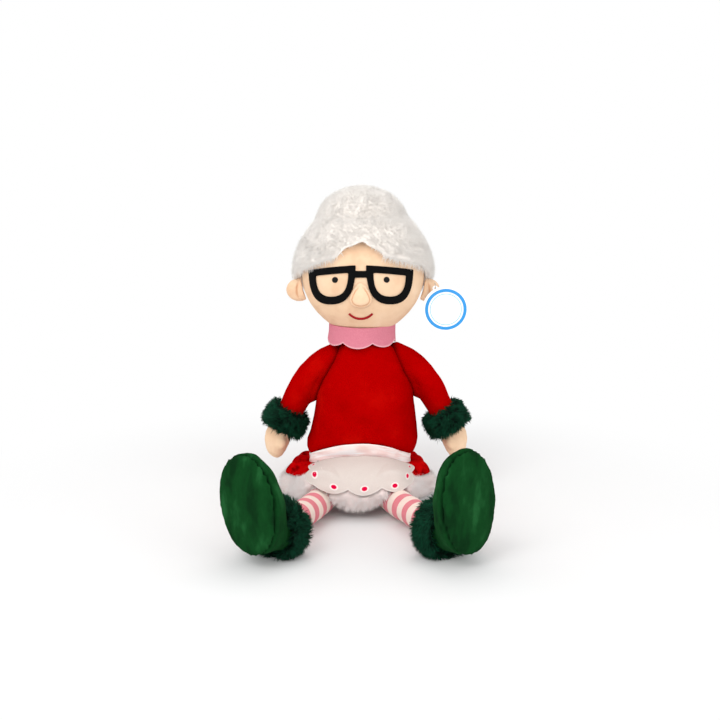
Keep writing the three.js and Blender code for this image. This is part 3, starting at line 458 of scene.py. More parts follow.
# In each fur the root colour is painted shade and the tip colour a painted highlight.
green_fur = fur_cloth("green_fur", srgb(0, 18, 10), srgb(1, 46, 28), srgb(18, 84, 58), rough=0.6,
                      shine=0.1)
white_fur = fur_cloth("white_fur", srgb(246, 239, 232), srgb(251, 246, 240), srgb(253, 249, 244),
                      patchy=0.1, sheen=0.2, bump=0.1)
trim_fur = fur_cloth("trim_fur", srgb(246, 230, 226), srgb(252, 242, 239), srgb(254, 249, 247),
                     patchy=0.3, sheen=0.35, bump=0.2)
pink_felt = felt_cloth("pink_felt", srgb(202, 116, 134), srgb(216, 136, 150), edge=srgb(238, 178, 186))
black_felt = felt_cloth("black_felt", srgb(6, 6, 6), srgb(18, 18, 19))
black_thread = thread_work("black_thread", srgb(0, 0, 0), srgb(8, 8, 8))
red_thread = thread_work("red_thread", srgb(140, 10, 20), srgb(178, 30, 36))
lining = plush_cloth("lining", srgb(150, 60, 70), srgb(178, 84, 92), srgb(196, 104, 110), patch=14)
cotton = plush_cloth("cotton", srgb(214, 208, 198), srgb(232, 228, 220), srgb(240, 238, 232))


# Stage: floor, lamps and camera

CAMERA_TARGET = Vector((-4, 0, 177)) * MM
CAMERA_DISTANCE = 1.5
CAMERA_RISE = math.radians(12.5)
CAMERA_LENS = 57.475
WORLD_LIGHT = 0.87
FLOOR_LIGHTNESS = 0.79
FLOOR_SIZE = 8
FLOOR_MIDDLE = (0, -150, 0)
FLOOR_FADE = (310, 620)


def set_camera():
    data = bpy.data.cameras.new("camera")
    data.lens = CAMERA_LENS
    data.sensor_width = 36
    camera = placed("camera", data)
    away = Vector((0, -math.cos(CAMERA_RISE), math.sin(CAMERA_RISE)))
    camera.location = CAMERA_TARGET + away * CAMERA_DISTANCE
    camera.rotation_euler = (math.pi / 2 - CAMERA_RISE, 0, 0)
    scene.camera = camera


def softbox(name, place, target, size, watts):
    data = bpy.data.lights.new(name, "AREA")
    data.shape = "DISK"
    data.size = size
    data.energy = watts
    lamp = placed(name, data)
    lamp.location = place
    lamp.rotation_euler = (Vector(target) - Vector(place)).to_track_quat("-Z", "Y").to_euler()


def set_world():
    """Plain grey light on the object, and white wherever the camera or a reflection sees past it."""
    paint = Paint("studio", "worlds")
    scene.world = paint.made
    seen, glossy, through = (paint.node("LightPath", output="Is " + ray + " Ray")
                             for ray in ("Camera", "Glossy", "Transmission"))
    plain, white = (paint.node("Background", inputs={"Color": (1, 1, 1), "Strength": strength})
                    for strength in (WORLD_LIGHT, 1))
    past = seen.maths("MAXIMUM", seen.maths("MAXIMUM", seen, glossy), through)
    paint.ends_in(paint.node("MixShader", inputs={0: past, 1: plain, 2: white}), "OutputWorld")


def set_floor():
    """A pale floor that keeps the shadow near the doll and is white to the camera far from it."""
    bpy.ops.object.select_all(action="DESELECT")
    bpy.ops.mesh.primitive_plane_add(size=FLOOR_SIZE, location=(0, 0, 0))
    floor = bpy.context.object
    floor.name = "floor"
    paint = Paint("floor_white")
    path = paint.node("LightPath")
    far = paint.far_from(FLOOR_MIDDLE).between(*FLOOR_FADE) * path
    matt = paint.node("BsdfDiffuse", inputs={"Color": (FLOOR_LIGHTNESS, ) * 3})
    white = paint.node("Emission", inputs={"Color": (1, 1, 1), "Strength": 1.0})
    floor.data.materials.append(paint.ends_in(paint.node("MixShader", inputs={0: far, 1: matt, 2: white})))


scene.view_settings.view_transform = "Standard"
set_camera()
set_world()
set_floor()
softbox("key", (-0.9, -1.5, 1.7), (0, 0, 0.18), 1.3, 15)
softbox("front", (-0.2, -1.9, 0.5), (0, 0, 0.1), 1.2, 7)
softbox("fill", (1.4, -1.3, 0.9), (0, 0, 0.18), 1.4, 6)
softbox("top", (0.1, 0.2, 1.9), (0, 0, 0.15), 1.2, 6)


# Stuffed body, limbs and head

SIDES = {"right": -1, "left": 1}
BOOT_MIDDLE = {"right": -112, "left": 112}
BOOT_FLOOR = 0.2
BOOT_FULL = {"right": (1.06, 1.0, 1.0), "left": (1.03, 1.0, 1.06)}
EAR = {"out": 82.5, "bow": 2.5, "height": 270, "half": 11, "fold": 1.3, "fold_half": 10, "depth": 1.2}
NOSE_WIDER = 0.17
NOSE_SEAM_INSET, NOSE_SEAM_WIDTH, NOSE_SEAM_DEPTH = 2.6, 0.8, 0.8
NOSE_SEAM_TOP = (280, 288)

torso = stuffed("torso", 3.0, 4, lump=(40, 1.6))
torso_skin = skin_of(torso)
dressed(torso, "body", "red_plush", red_plush, "torso", fill=0.8)
dressed(stuffed("lower_body", 3.0, 3, puff=0), "body", "red_plush", lining, "lower_body", fill=0.8)
dressed(stuffed("seat_pellet_bag", 3.0, 2, puff=0, subdivide=0), "body", "cotton", cotton,
        "seat_pellet_bag", fill=0.7)
dressed(stuffed("neck", 3.0, 2, puff=0), "neck", "skin_plush", skin_plush, "neck", fill=0.9)
head = stuffed("head", 3.0, 4, lump=(45, 0.8))
head_skin = skin_of(head)
dressed(head, "head", "skin_plush", skin_plush, "head", fill=0.9)

for side, sign in SIDES.items():
    turn = 3.0 if side == "left" else 0.0
    sleeve = stuffed(side + "_sleeve", 2.5, 3, lump=(26, 1.2), seed=turn)
    sewn_to(sleeve, torso_skin, reach=8.5)
    # Only painted shade where the sleeve is sewn to the torso; nothing is pressed in.
    creased(sleeve, torso_skin, width=3.0, depth=0.0)
    dressed(sleeve, side + "_arm", "red_plush", red_plush, side + "_sleeve", fill=0.7)
    dressed(stuffed(side + "_hand", 1.6, 2, puff=1.5, lump=(16, 0.6), seed=turn), side + "_hand",
            "skin_plush", skin_plush, side + "_hand", fill=0.8)
    sole = stuffed(side + "_boot_sole", 2.2, 2, depth=0.6, puff=1.5, lump=(24, 0.8), seed=turn)
    boot = stuffed(side + "_boot", 2.5, 3, lump=(20, 1.2), seed=turn)
    for piece in (sole, boot):
        points = points_of(piece)
        middle = np.array([BOOT_MIDDLE[side] * MM, 0, 0])
        moved_to(piece, np.maximum(middle + (points - middle) * BOOT_FULL[side], [-1, -1, BOOT_FLOOR * MM]))
    sole_skin, boot_skin = skin_of(sole), skin_of(boot)
    # Painted shade and puckers where boot and sole are sewn together.
    creased(boot, sole_skin, width=2.4, depth=0.6, pucker=1.3)
    creased(sole, boot_skin, width=2.0, depth=0.3, pucker=1.0)
    dressed(boot, side + "_foot", "green_plush", green_plush, side + "_boot", fill=0.9)
    dressed(sole, side + "_foot", "green_plush", green_plush, side + "_boot_sole", fill=0.6)
    ear = stuffed(side + "_ear", 1.5, 2, depth=0.6, puff=1.2, lump=None)
    spots = points_of(ear) / MM
    up = spots[:, 2] - EAR["height"]
    bow = EAR["out"] + EAR["bow"] * (1 - (up / EAR["half"]) ** 2)
    fold = np.exp(-((sign * spots[:, 0] - bow) / EAR["fold"]) ** 2 - (up / EAR["fold_half"]) ** 4)
    fold *= spots[:, 1] < 0
    pushed(ear, -EAR["depth"] * fold)
    # The fold is pressed in and darkened with painted shade.
    marked(ear, "seam", fold)
    dressed(ear, "head", "skin_plush", skin_plush, side + "_ear", fill=0.6)

nose = stuffed("nose", 1.2, 2, depth=0.5, puff=1.0, lump=None)
spots = points_of(nose)
spots[:, 0] += (spots[:, 0] - spots[:, 0].mean()) * NOSE_WIDER
moved_to(nose, spots)
spots = points_of(nose)
facing = normals_of(nose) @ np.array(FACE_OUT)
rim = spots[np.abs(facing) < 0.25][:, [0, 2]] / MM
inset = np.array([np.min(np.hypot(*(rim - spot).T)) for spot in spots[:, [0, 2]] / MM])
seam = np.exp(-((inset - NOSE_SEAM_INSET) / NOSE_SEAM_WIDTH) ** 2) * (facing > 0.1)
seam *= 1 - step_between(spots[:, 2] / MM, *NOSE_SEAM_TOP)
pushed(nose, -NOSE_SEAM_DEPTH * seam)
# The stitched line is pressed in and darkened with painted shade.
marked(nose, "seam", seam)
dressed(nose, "head", "skin_plush", skin_plush, "nose", fill=0.8)


# Striped legs

LEGS = {
    "right": {"hip": (-36, -50, 20), "length": 188, "splay": -18.5},
    "left": {"hip": (19, -50, 20), "length": 192, "splay": 22},
}
ANKLE_RISE = 13
STRIPE = {"right": 26.0, "left": 28.0}
LEG_SAG = 5.0
LEG_FLOOR = 0.5


def leg_line(side):
    """Where a leg starts and the direction it runs in."""
    leg = LEGS[side]
    splay = math.radians(leg["splay"])
    rise = ANKLE_RISE / leg["length"]
    flat = math.sqrt(1 - rise ** 2)
    return Vector(leg["hip"]), Vector((math.sin(splay) * flat, -math.cos(splay) * flat, rise))


def striped_cloth(side):
    """Knitted stripes round the leg, with soft edges where the pile of one lies over the next."""
    hip, along = leg_line(side)
    paint = Paint(side + "_stripes")
    reach = paint.node("VectorMath", {"operation": "DOT_PRODUCT"},
                       {0: paint.place(), 1: tuple(along)}, output=1)
    reach = reach - hip.dot(along) + (paint.grain(5, 2) - 0.5) * 1.2
    wave = paint.node("Math", {"operation": "SINE"}, {0: reach * (2 * math.pi / STRIPE[side])})
    fine = paint.grain(1.2, 2, 0.6)
    pink = paint.mixed(paint.grain(8), srgb(214, 110, 124), srgb(228, 134, 144))
    cream = paint.mixed(paint.grain(8), srgb(236, 218, 204), srgb(244, 232, 220))
    colour = paint.mixed(wave.between(-0.1, 0.1), cream, pink)
    colour = paint.mixed(fine * 0.3, colour, srgb(214, 150, 150))
    return paint.cloth(colour, paint.bump(fine, 0.4, 0.6), 0.9, 0.1, 0.08, 0.4)


for side in LEGS:
    leg = stuffed(side + "_leg", 2.2, 2, lump=(18, 0.8))
    hip, along = leg_line(side)
    spots = points_of(leg)
    share = np.clip((spots / MM - np.array(hip)) @ np.array(along) / LEGS[side]["length"], 0, 1)
    spots[:, 2] = np.maximum(spots[:, 2] - LEG_SAG * MM * np.sin(share * math.pi), LEG_FLOOR * MM)
    moved_to(leg, spots)
    dressed(leg, side + "_leg", "striped_knit", striped_cloth(side), side + "_leg", fill=0.7)


# Cloth of the skirt, ribbon and apron, from the same lines as the frame's

SEAM = 0.3
WAIST = {"x": -4, "half": 62, "deep": 56, "height": 50, "rise": 26}
SKIRT = {"x": -7, "half": 93, "deep": 64, "cloth": 2.4, "ease": 1.2, "fold": 2.5, "folds": 9}
TRIM = {"high": 12, "thick": 8, "clear": 0.9}
LAP = {"reach": 42, "over": 50, "rise": 31, "half": 0.42, "between": 0.85, "rise_between": 0.5,
       "apron_between": 0.95, "apron_rise_between": 0.85}
FELT = 1.6
APRON_LIFT = FELT + 10 * SEAM


def lap_angle(leg):
    splay = math.radians(leg["splay"])
    return math.atan2(leg["hip"][0] - SKIRT["x"] + math.sin(splay) * LAP["reach"],
                      math.cos(splay) * LAP["reach"] - leg["hip"][1])


FIRST_LAP, LAST_LAP = lap_angle(LEGS["right"]), lap_angle(LEGS["left"])


def waist_at(y):
    return WAIST["height"] + WAIST["rise"] * max(0, -y / WAIST["deep"]) ** 1.6


def lap_at(angle, between):
    """How much the skirt laps over the legs at an angle from the front."""
    if FIRST_LAP < angle < LAST_LAP:
        return 1 - (1 - between) * math.sin((angle - FIRST_LAP) / (LAST_LAP - FIRST_LAP) * math.pi) ** 2
    return math.exp(-(max(FIRST_LAP - angle, angle - LAST_LAP) / LAP["half"]) ** 2.5)


def hem_point(angle, out=0.0, over_apron=False):
    lap = lap_at(angle, LAP["apron_between" if over_apron else "between"])
    fold = 0 if over_apron else SKIRT["fold"] * math.cos(angle * SKIRT["folds"]) * (1 - lap)
    rise = lap_at(angle, LAP["apron_rise_between" if over_apron else "rise_between"])
    return Vector((SKIRT["x"] + (SKIRT["half"] + fold + out) * math.sin(angle),
                   -(SKIRT["deep"] + fold + out) * math.cos(angle) - LAP["over"] * lap,
                   TRIM["high"] + TRIM["clear"] + LAP["rise"] * rise))


def waist_point(angle, out, cloth, drop):
    x = WAIST["x"] + (WAIST["half"] + out) * math.sin(angle)
    y = -(WAIST["deep"] + out) * math.cos(angle)
    return Vector((x, y, waist_at(y + cloth * math.cos(angle)) - SEAM - drop))


def on_trim(angle, turn, grow, over_apron=False):
    centre = hem_point(angle, 0, over_apron)
    out = (hem_point(angle, 1, over_apron) - centre).normalized()
    return centre + out * (TRIM["thick"] + grow) * math.cos(turn) \
        + Vector((0, 0, (TRIM["high"] + grow) * math.sin(turn)))


BAND_DEEP = {"back": 10, "more_in_front": 9}


def band_drop(angle):
    """How deep the ribbon is at an angle from the front."""
    return BAND_DEEP["back"] + BAND_DEEP["more_in_front"] * max(0, math.cos(angle)) ** 2


BAND = 1 / 3
TRIM_TOP = math.radians(85)
RUFFLE = {"from": 46, "to": 62, "folds": 15, "depth": 3.2}


def skirt_point(angle, v):
    """Upright under the ribbon, then flaring out to the top of the trim, in folds where no apron lies."""
    out = SKIRT["ease"] + SKIRT["cloth"]
    top = waist_point(angle, out, SKIRT["cloth"], band_drop(angle) * min(v / BAND, 1))
    if v <= BAND:
        return top
    share = (v - BAND) / (1 - BAND)
    hem = on_trim(angle, TRIM_TOP, SKIRT["cloth"] + 2 * SEAM)
    point = top.lerp(hem, share)
    loose = float(step_between(abs(math.degrees(angle)), RUFFLE["from"], RUFFLE["to"]))
    swell = math.sin(share * math.pi) ** 0.7
    fold = math.cos(angle * RUFFLE["folds"] + 2.2 * math.sin(angle * 3)) * RUFFLE["depth"] * swell * loose
    point.z += 4 * math.sin(share * math.pi) + fold + 1.5 * swell * loose
    return point + Vector((math.sin(angle), -math.cos(angle), 0)) * (fold + 2 * swell * loose)


def sheet_of(name, columns, rows, surface, thickness, loop=False, flat=None, edge=None):
    """A flat grid of cloth laid on a surface of u and v. Its UV map is the flat cloth, and to_edge is how
    far each point is from the cut edge."""
    bpy.ops.object.select_all(action="DESELECT")
    bpy.ops.mesh.primitive_grid_add(x_subdivisions=columns, y_subdivisions=rows, size=1)
    piece = bpy.context.object
    piece.name = name
    grid = [(x + 0.5, 0.5 - y) for x, y, _ in points_of(piece)]
    if flat:
        corner = np.empty(len(piece.data.loops), dtype=np.int32)
        piece.data.loops.foreach_get("vertex_index", corner)
        spots = np.array([flat(u, v) for u, v in grid])[corner]
        piece.data.uv_layers["UVMap"].data.foreach_set("uv", spots.ravel())
    if edge:
        marked(piece, "to_edge", [edge(u, v) for u, v in grid])
    moved_to(piece, np.array([tuple(surface(u, v)) for u, v in grid]) * MM)
    in_edit_mode(piece, merged, outward)
    middle = np.mean(points_of(piece), axis=0)
    if not loop:
        middle = np.array([0, 0, 0.04])
    if ((points_of(piece) - middle) * normals_of(piece)).sum() < 0:
        in_edit_mode(piece, bpy.ops.mesh.flip_normals)
    fixed(piece, "SOLIDIFY", thickness=thickness * MM, offset=-1)
    return smooth(piece)


def wide(u):
    """From a share of the way round to an angle from the front."""
    return u * 2 * math.pi - math.pi


skirt = sheet_of("skirt_cloth", 300, 40, lambda u, v: skirt_point(wide(u), v), 1.6, loop=True)
dressed(skirt, "body", "red_plush", skirt_red, "skirt")

RIBBON_OUT = SKIRT["ease"] + SKIRT["cloth"] + SEAM + 1.0
RIBBON_TUCK = 2.5


def ribbon_point(u, v):
    angle = wide(u)
    crease = 0.35 * math.sin(v * 9 + 2 * math.sin(angle * 4))
    crease += 0.25 * noise.noise(Vector((angle * 3, v * 4, 0)))
    return waist_point(angle, RIBBON_OUT + crease, 1.0, band_drop(angle) * v - RIBBON_TUCK * (1 - v))


ribbon = sheet_of("waist_ribbon", 300, 12, ribbon_point, 0.5, loop=True,
                  edge=lambda u, v: band_drop(wide(u)) * min(v, 1 - v))
dressed(ribbon, "body", "ribbon", sheer_ribbon(), "apron_waistband")

# The apron is a bib of felt. Its outline and dots are in the flat cloth's own millimetres: across from the
# middle of the skirt, and down from the waist. Then the cloth is laid over the skirt and its trim.

BIB_LENGTH = 73.0
BIB_NOTCHES = [(-62, 12), (-70, 37), (-57, 66), (-12, 66), (30, 67), (72, 66), (88, 38), (84, 12)]
BIB_TIPS = [(-85, 20), (-75, 55), (-33, 76), (9, 75), (50, 76), (90, 55), (104, 22)]
BIB_DOTS = [(-70, 21.5), (-55, 51), (-29.5, 65), (8.5, 64), (47, 66), (69, 51), (87, 22.5)]
DOT_RADIUS = 3.5
BIB_TOP = [(-62, 12), (-30, 8.5), (8, 6), (45, 8), (84, 12)]
SCALLOP_STEPS = 16
BIB_HEM_TURN, BIB_OVER_TURN = math.radians(-15), math.radians(75)
BIB_OVER_TRIM = 7


def through(a, b, c, share):
    """A point on the round line from a through b to c."""
    bend = [2 * b[i] - (a[i] + c[i]) / 2 for i in (0, 1)]
    return [(1 - share) ** 2 * a[i] + 2 * share * (1 - share) * bend[i] + share ** 2 * c[i] for i in (0, 1)]


bib_edge = []
for left, tip, right in zip(BIB_NOTCHES, BIB_TIPS, BIB_NOTCHES[1:]):
    bib_edge += [through(left, tip, right, math.sin(i / SCALLOP_STEPS * math.pi / 2) ** 2)
                 for i in range(SCALLOP_STEPS)]
bib_edge = np.array(bib_edge + [BIB_NOTCHES[-1]])
bib_top = np.array(BIB_TOP, dtype=float)


def on_bib(u, v):
    """A place on the flat bib, from its top edge to its scalloped one."""
    place = u * (len(bib_edge) - 1)
    edge = [np.interp(place, np.arange(len(bib_edge)), bib_edge[:, i]) for i in (0, 1)]
    middle = 0.5 - math.cos(u * math.pi) / 2
    across = bib_top[0, 0] + (bib_top[-1, 0] - bib_top[0, 0]) * (0.35 * u + 0.65 * middle)
    top = (across, np.interp(across, bib_top[:, 0], bib_top[:, 1]))
    return tuple(top[i] + (edge[i] - top[i]) * v for i in (0, 1))


LAY_ROWS, LAY_ANGLES = 31, np.radians(np.linspace(-112, 112, 225))


def laid(share, angle):
    """The way down from the waist at an angle: over the skirt, then round the front of the trim."""
    top = waist_point(angle, 5.6, 1.0, 9)
    over = on_trim(angle, BIB_OVER_TURN, APRON_LIFT + BIB_OVER_TRIM, True)
    hem = on_trim(angle, BIB_HEM_TURN, APRON_LIFT, True)
    return top * (1 - share) ** 2 + over * 2 * share * (1 - share) + hem * share ** 2


lay = np.array([[tuple(laid(i / (LAY_ROWS - 1), angle)) for angle in LAY_ANGLES] for i in range(LAY_ROWS)])
lay_arc = np.concatenate([np.zeros((LAY_ROWS, 1)),
                          np.cumsum(np.linalg.norm(np.diff(lay, axis=1), axis=2), axis=1)], axis=1)
lay_arc -= lay_arc[:, len(LAY_ANGLES) // 2][:, None]


def skirt_face():
    """The skirt's outer side alone, to lay the apron on."""
    columns, rows = 160, 30
    spots = [skirt_point(wide(i / columns), j / rows) * MM for j in range(rows + 1) for i in range(columns)]
    faces = []
    for j in range(rows):
        for i in range(columns):
            k = (i + 1) % columns
            faces.append((j * columns + i, (j + 1) * columns + i, (j + 1) * columns + k, j * columns + k))
    return BVHTree.FromPolygons(spots, faces)


skirt_skin = skirt_face()
BIB_OVER_SKIRT = 2.2
BIB_LIFT_MOST = 7
BIB_ON_SKIRT = (44, 60)


def over_skirt(point, share):
    """Lift a point of the bib until it clears the skirt."""
    spot, normal, _, _ = skirt_skin.find_nearest(point * MM)
    if normal.z < 0:
        normal = -normal
    above = (point * MM - spot).dot(normal) / MM
    return point + normal * min(max(0, BIB_OVER_SKIRT - above), BIB_LIFT_MOST) * share


def bib_point(u, v):
    across, down = on_bib(u, v)
    row = min(down / BIB_LENGTH, 1.0) * (LAY_ROWS - 1)
    low = min(int(row), LAY_ROWS - 2)
    ends = [np.array([np.interp(across, lay_arc[r], lay[r, :, i]) for i in range(3)]) for r in (low, low + 1)]
    point = ends[0] + (ends[1] - ends[0]) * (row - low)
    beyond = max(down - BIB_LENGTH, 0)
    wave = 0.5 * noise.noise(Vector((across / 16, down / 16, 0)))
    on_skirt = 1 - float(step_between(down, *BIB_ON_SKIRT))
    return over_skirt(Vector(point) + Vector((0, -wave, wave - beyond)), on_skirt)


def bib_from_edge(u, v):
    """How far a place on the bib is from its scalloped edge."""
    inner, outer = np.array(on_bib(u, 0)), np.array(on_bib(u, 1))
    return (1 - v) * np.linalg.norm(outer - inner)


apron_felt = felt_cloth("apron_felt", srgb(206, 193, 186), srgb(219, 209, 202), edge=srgb(233, 225, 220),
                        printed=(srgb(214, 0, 62), srgb(248, 234, 232), DOT_RADIUS, BIB_DOTS))
apron = sheet_of("apron_bib", 7 * SCALLOP_STEPS, 36, bib_point, 1.4, flat=on_bib, edge=bib_from_edge)
dressed(apron, "body", "white_felt", apron_felt, "apron")
apron_skin = skin_of(apron)


# Collar: a felt ring that stands under the chin and flares out over the sweater in scallops

COLLAR = {"x": -1.5, "half": 43, "deep": 46, "high": 228, "low": 201.5, "scallop": 7, "count": 7,
          "notch": math.radians(17.7), "flare": 3.5, "flare_from": 0.45, "wave": 0.5}


def collar_point(u, v):
    angle = wide(u)
    scallop = abs(math.sin((angle - COLLAR["notch"]) * COLLAR["count"] / 2)) ** 0.7
    front = math.cos(angle / 2) ** 2
    low = COLLAR["low"] + COLLAR["scallop"] * (1 - scallop)
    z = COLLAR["high"] + (low - COLLAR["high"]) * v
    out = COLLAR["flare"] * max(0, v - COLLAR["flare_from"]) ** 1.5 * (0.6 + 0.4 * front)
    out += COLLAR["wave"] * math.sin(angle * 5 + v * 2)
    return Vector((COLLAR["x"] + (COLLAR["half"] + out) * math.sin(angle),
                   -(COLLAR["deep"] + out) * math.cos(angle), z))


collar = sheet_of("felt_collar", 252, 16, collar_point, 1.6, loop=True,
                  edge=lambda u, v: (1 - v) * (COLLAR["high"] - COLLAR["low"]))
dressed(collar, "body", "pink_felt", pink_felt, "collar")


# Fur: closed tapering hairs on a plain base, all in one mesh

# Left unseeded, noise_vector starts from the clock and the fur is combed anew each run
noise.seed_set(1)
HAIR_RINGS = ((0.0, 1.0, -0.6), (0.4, 0.9, 0.0), (0.75, 0.6, 0.0))


def furred(piece, count, length, width, lean=0.35, droop=0.0, seed=1, keep=None, clump=9.0, wild=0.35,
           flow=None, soft=1.0, stretch=None, shape=HAIR_RINGS, form=None, lift=(0, 0, 0)):
    """Grow hairs on a piece. They lean in clumps or with the flow, droop is how far they hang down, and
    stretch makes some longer. Soft is how much of the base's own shading they take, and lift turns that
    shading to the light at the front, as light passed on between the hairs does. Where the piece is cut
    at the bun's foot, its shading comes from the whole form."""
    rng = np.random.default_rng(seed)
    mesh = piece.data
    mesh.calc_loop_triangles()
    corner = np.empty(len(mesh.loop_triangles) * 3, dtype=np.int32)
    mesh.loop_triangles.foreach_get("vertices", corner)
    corner = corner.reshape(-1, 3)
    points, normals = points_of(piece), normals_of(piece)
    if form:
        for i in np.flatnonzero(np.abs(points[:, 2] / MM - BUN_FOOT) < 0.1):
            normals[i] = form.find_nearest(Vector(points[i]))[1]
    a, b, c = (points[corner[:, i]] for i in range(3))
    facing = np.cross(b - a, c - a)
    area = np.linalg.norm(facing, axis=1)
    if keep is not None:
        area = area * keep((a + b + c) / 3, facing / np.maximum(area, 1e-15)[:, None])
    chosen = rng.choice(len(area), size=count, p=area / area.sum())
    r, s = rng.random(count), rng.random(count)
    over = r + s > 1
    r[over], s[over] = 1 - r[over], 1 - s[over]
    share = np.stack([1 - r - s, r, s], axis=1)[:, :, None]
    root = (points[corner[chosen]] * share).sum(axis=1)
    out = (normals[corner[chosen]] * share).sum(axis=1)
    out /= np.linalg.norm(out, axis=1, keepdims=True)
    comb = np.array([noise.noise_vector(Vector(p / MM / clump + seed)) for p in root])
    comb -= out * (comb * out).sum(axis=1, keepdims=True)
    way = out + comb * 2.0 * lean + rng.normal(0, wild * 0.5, (count, 3))
    if flow is not None:
        way += flow(root, out)
    way /= np.linalg.norm(way, axis=1, keepdims=True)
    long = length * MM * (0.65 + 0.5 * rng.random(count))[:, None]
    if stretch is not None:
        long = long * stretch(root)[:, None]
    thick = width * MM * (0.75 + 0.5 * rng.random(count))[:, None] / 2
    down = np.array([[0, 0, -1.0]]) * droop
    aside = np.cross(way, rng.normal(0, 1, (count, 3)))
    aside /= np.linalg.norm(aside, axis=1, keepdims=True)
    across = np.cross(way, aside)
    rings = []
    for along, size, sink in shape:
        centre = root + out * sink * MM + way * long * along + (down + comb * 0.35) * long * along ** 2
        for turn in range(3):
            angle = turn * 2 * math.pi / 3
            rings.append(centre + (aside * math.cos(angle) + across * math.sin(angle)) * thick * size)
    rings.append(root + way * long + (down + comb * 0.35) * long)
    verts = np.stack(rings, axis=1).reshape(-1, 3)
    verts[:, 2] = np.maximum(verts[:, 2], 0.3 * MM)
    each = len(rings)
    sides = [(0, 2, 1)]
    for level in range(0, each - 1, 3):
        for i in range(3):
            j = (i + 1) % 3
            if level + 3 < each - 1:
                sides += [(level + i, level + j, level + 3 + j), (level + i, level + 3 + j, level + 3 + i)]
            else:
                sides.append((level + i, level + j, each - 1))
    start = np.arange(count)[:, None] * each
    faces = np.concatenate([start + np.array([f]) for f in sides], axis=1).reshape(-1, 3)
    mesh = bpy.data.meshes.new(piece.name + "_hairs")
    mesh.from_pydata(verts, [], faces.tolist())
    hairs = placed(piece.name + "_hairs", mesh)
    # How far along its hair each point lies, for the painted shade at the root and the painted highlight at
    # the tip.
    reach = [along for along, _, _ in shape for _ in range(3)] + [1.0]
    marked(hairs, "pile", np.tile(reach, count))
    marked(hairs, "shade", np.repeat(rng.random(count), each))
    lifted = [facing + np.array(lift) * np.clip(0.5 - facing[:, 1:2], 0, 1) for facing in (normals, out)]
    given = np.repeat(lifted[1], each, axis=0)
    shading = np.concatenate([lifted[0], given * soft + normals_of(hairs) * (1 - soft)])
    # The base under the hairs takes the root's painted shade.
    for name in ("pile", "shade"):
        marked(piece, name, np.zeros(len(points)))
    smooth(hairs)
    alone(piece)
    hairs.select_set(True)
    bpy.ops.object.join()
    shading /= np.maximum(np.linalg.norm(shading, axis=1, keepdims=True), 1e-9)
    piece.data.normals_split_custom_set_from_vertices(shading.tolist())
    return piece


def round_flow(axis, swirl, along):
    """Combed round a ring about its axis, and outwards along it at both of its ends."""
    axis = np.array(Vector(axis).normalized())

    def flow(root, out):
        around = np.cross(axis, out)
        turn = np.array([noise.noise(Vector(p / MM / 11)) for p in root])[:, None]
        return around * swirl * (0.5 + 1.6 * turn) + axis * along * (out @ axis)[:, None]
    return flow


for side, sign in SIDES.items():
    cuff = stuffed(side + "_sleeve_cuff", 2.0, 3, puff=0, lump=(9, 1.6), subdivide=0)
    pushed(cuff, np.full(len(cuff.data.vertices), -2.0))
    furred(cuff, 9500, 8.5, 0.9, lean=0.45, droop=0.2, seed=3, clump=8, wild=0.3,
           flow=round_flow((sign * 0.479, 0, -0.878), 0.9, 0.6), soft=0.45)
    dressed(cuff, side + "_arm", "green_fur", green_fur, side + "_sleeve_cuff", fill=0.5)
    cuff = stuffed(side + "_ankle_cuff", 2.2, 3, puff=0, lump=(9, 1.6), subdivide=0)
    pushed(cuff, np.full(len(cuff.data.vertices), -2.0))
    furred(cuff, 10500, 9, 1.0, lean=0.5, droop=0.15, seed=5, clump=9, wild=0.3,
           flow=round_flow(leg_line(side)[1], 0.7, 0.9), soft=0.45)
    dressed(cuff, side + "_foot", "green_fur", green_fur, side + "_ankle_cuff", fill=0.5)


BUN_FOOT = 357
PARTING_RISE, PARTING_HALF = 6, 13
TEMPLE_FALL, TEMPLE_FROM, TEMPLE_TO = 5, (16, 34), (62, 80)
SHORT_PILE = HAIR_RINGS[:1]
HAIR_LIFT = (0, -0.5, 0.45)
TRIM_LIFT = (0, -0.5, 0.7)


def head_of_hair():
    """The cap and the bun as one soft form, the crease between them filled with pile, parted at its foot."""
    whole = pattern_of("hair", "hair_whole")
    top = pattern_of("hair_bun", "hair_top")
    alone(whole)
    top.select_set(True)
    bpy.ops.object.join()
    evened(whole, 2.5 * MM, 4)
    group = whole.vertex_groups.new(name="crease")
    for i, z in enumerate(points_of(whole)[:, 2] / MM):
        group.add([i], math.exp(-((z - BUN_FOOT) / 13) ** 2), "REPLACE")
    fixed(whole, "SMOOTH", factor=0.8, iterations=16, vertex_group="crease")
    whole.vertex_groups.clear()
    spots = points_of(whole)
    near = 1 - step_between(distance_to(head_skin, spots), 7, 18)
    near *= step_between(-spots[:, 1], 0.005, 0.03)
    across = np.abs(spots[:, 0] / MM - FACE_MIDDLE)
    part = PARTING_RISE * np.exp(-(across / PARTING_HALF) ** 2)
    part -= TEMPLE_FALL * step_between(across, *TEMPLE_FROM) * (1 - step_between(across, *TEMPLE_TO))
    spots[:, 2] += part * near * MM
    moved_to(whole, spots)
    lumps(whole, 26, 0.6)
    yield skin_of(whole)
    for name, below in (("plush_hair", True), ("plush_hair_bun", False)):
        part = placed(name, whole.data.copy())
        in_edit_mode(part, lambda: bpy.ops.mesh.bisect(
            plane_co=(0, 0, BUN_FOOT * MM), plane_no=(0, 0, 1), use_fill=True, clear_outer=below,
            clear_inner=not below), outward)
        yield smooth(part)
    bpy.data.objects.remove(whole)


HEAD_CENTRE = np.array([0, 0, 290]) * MM


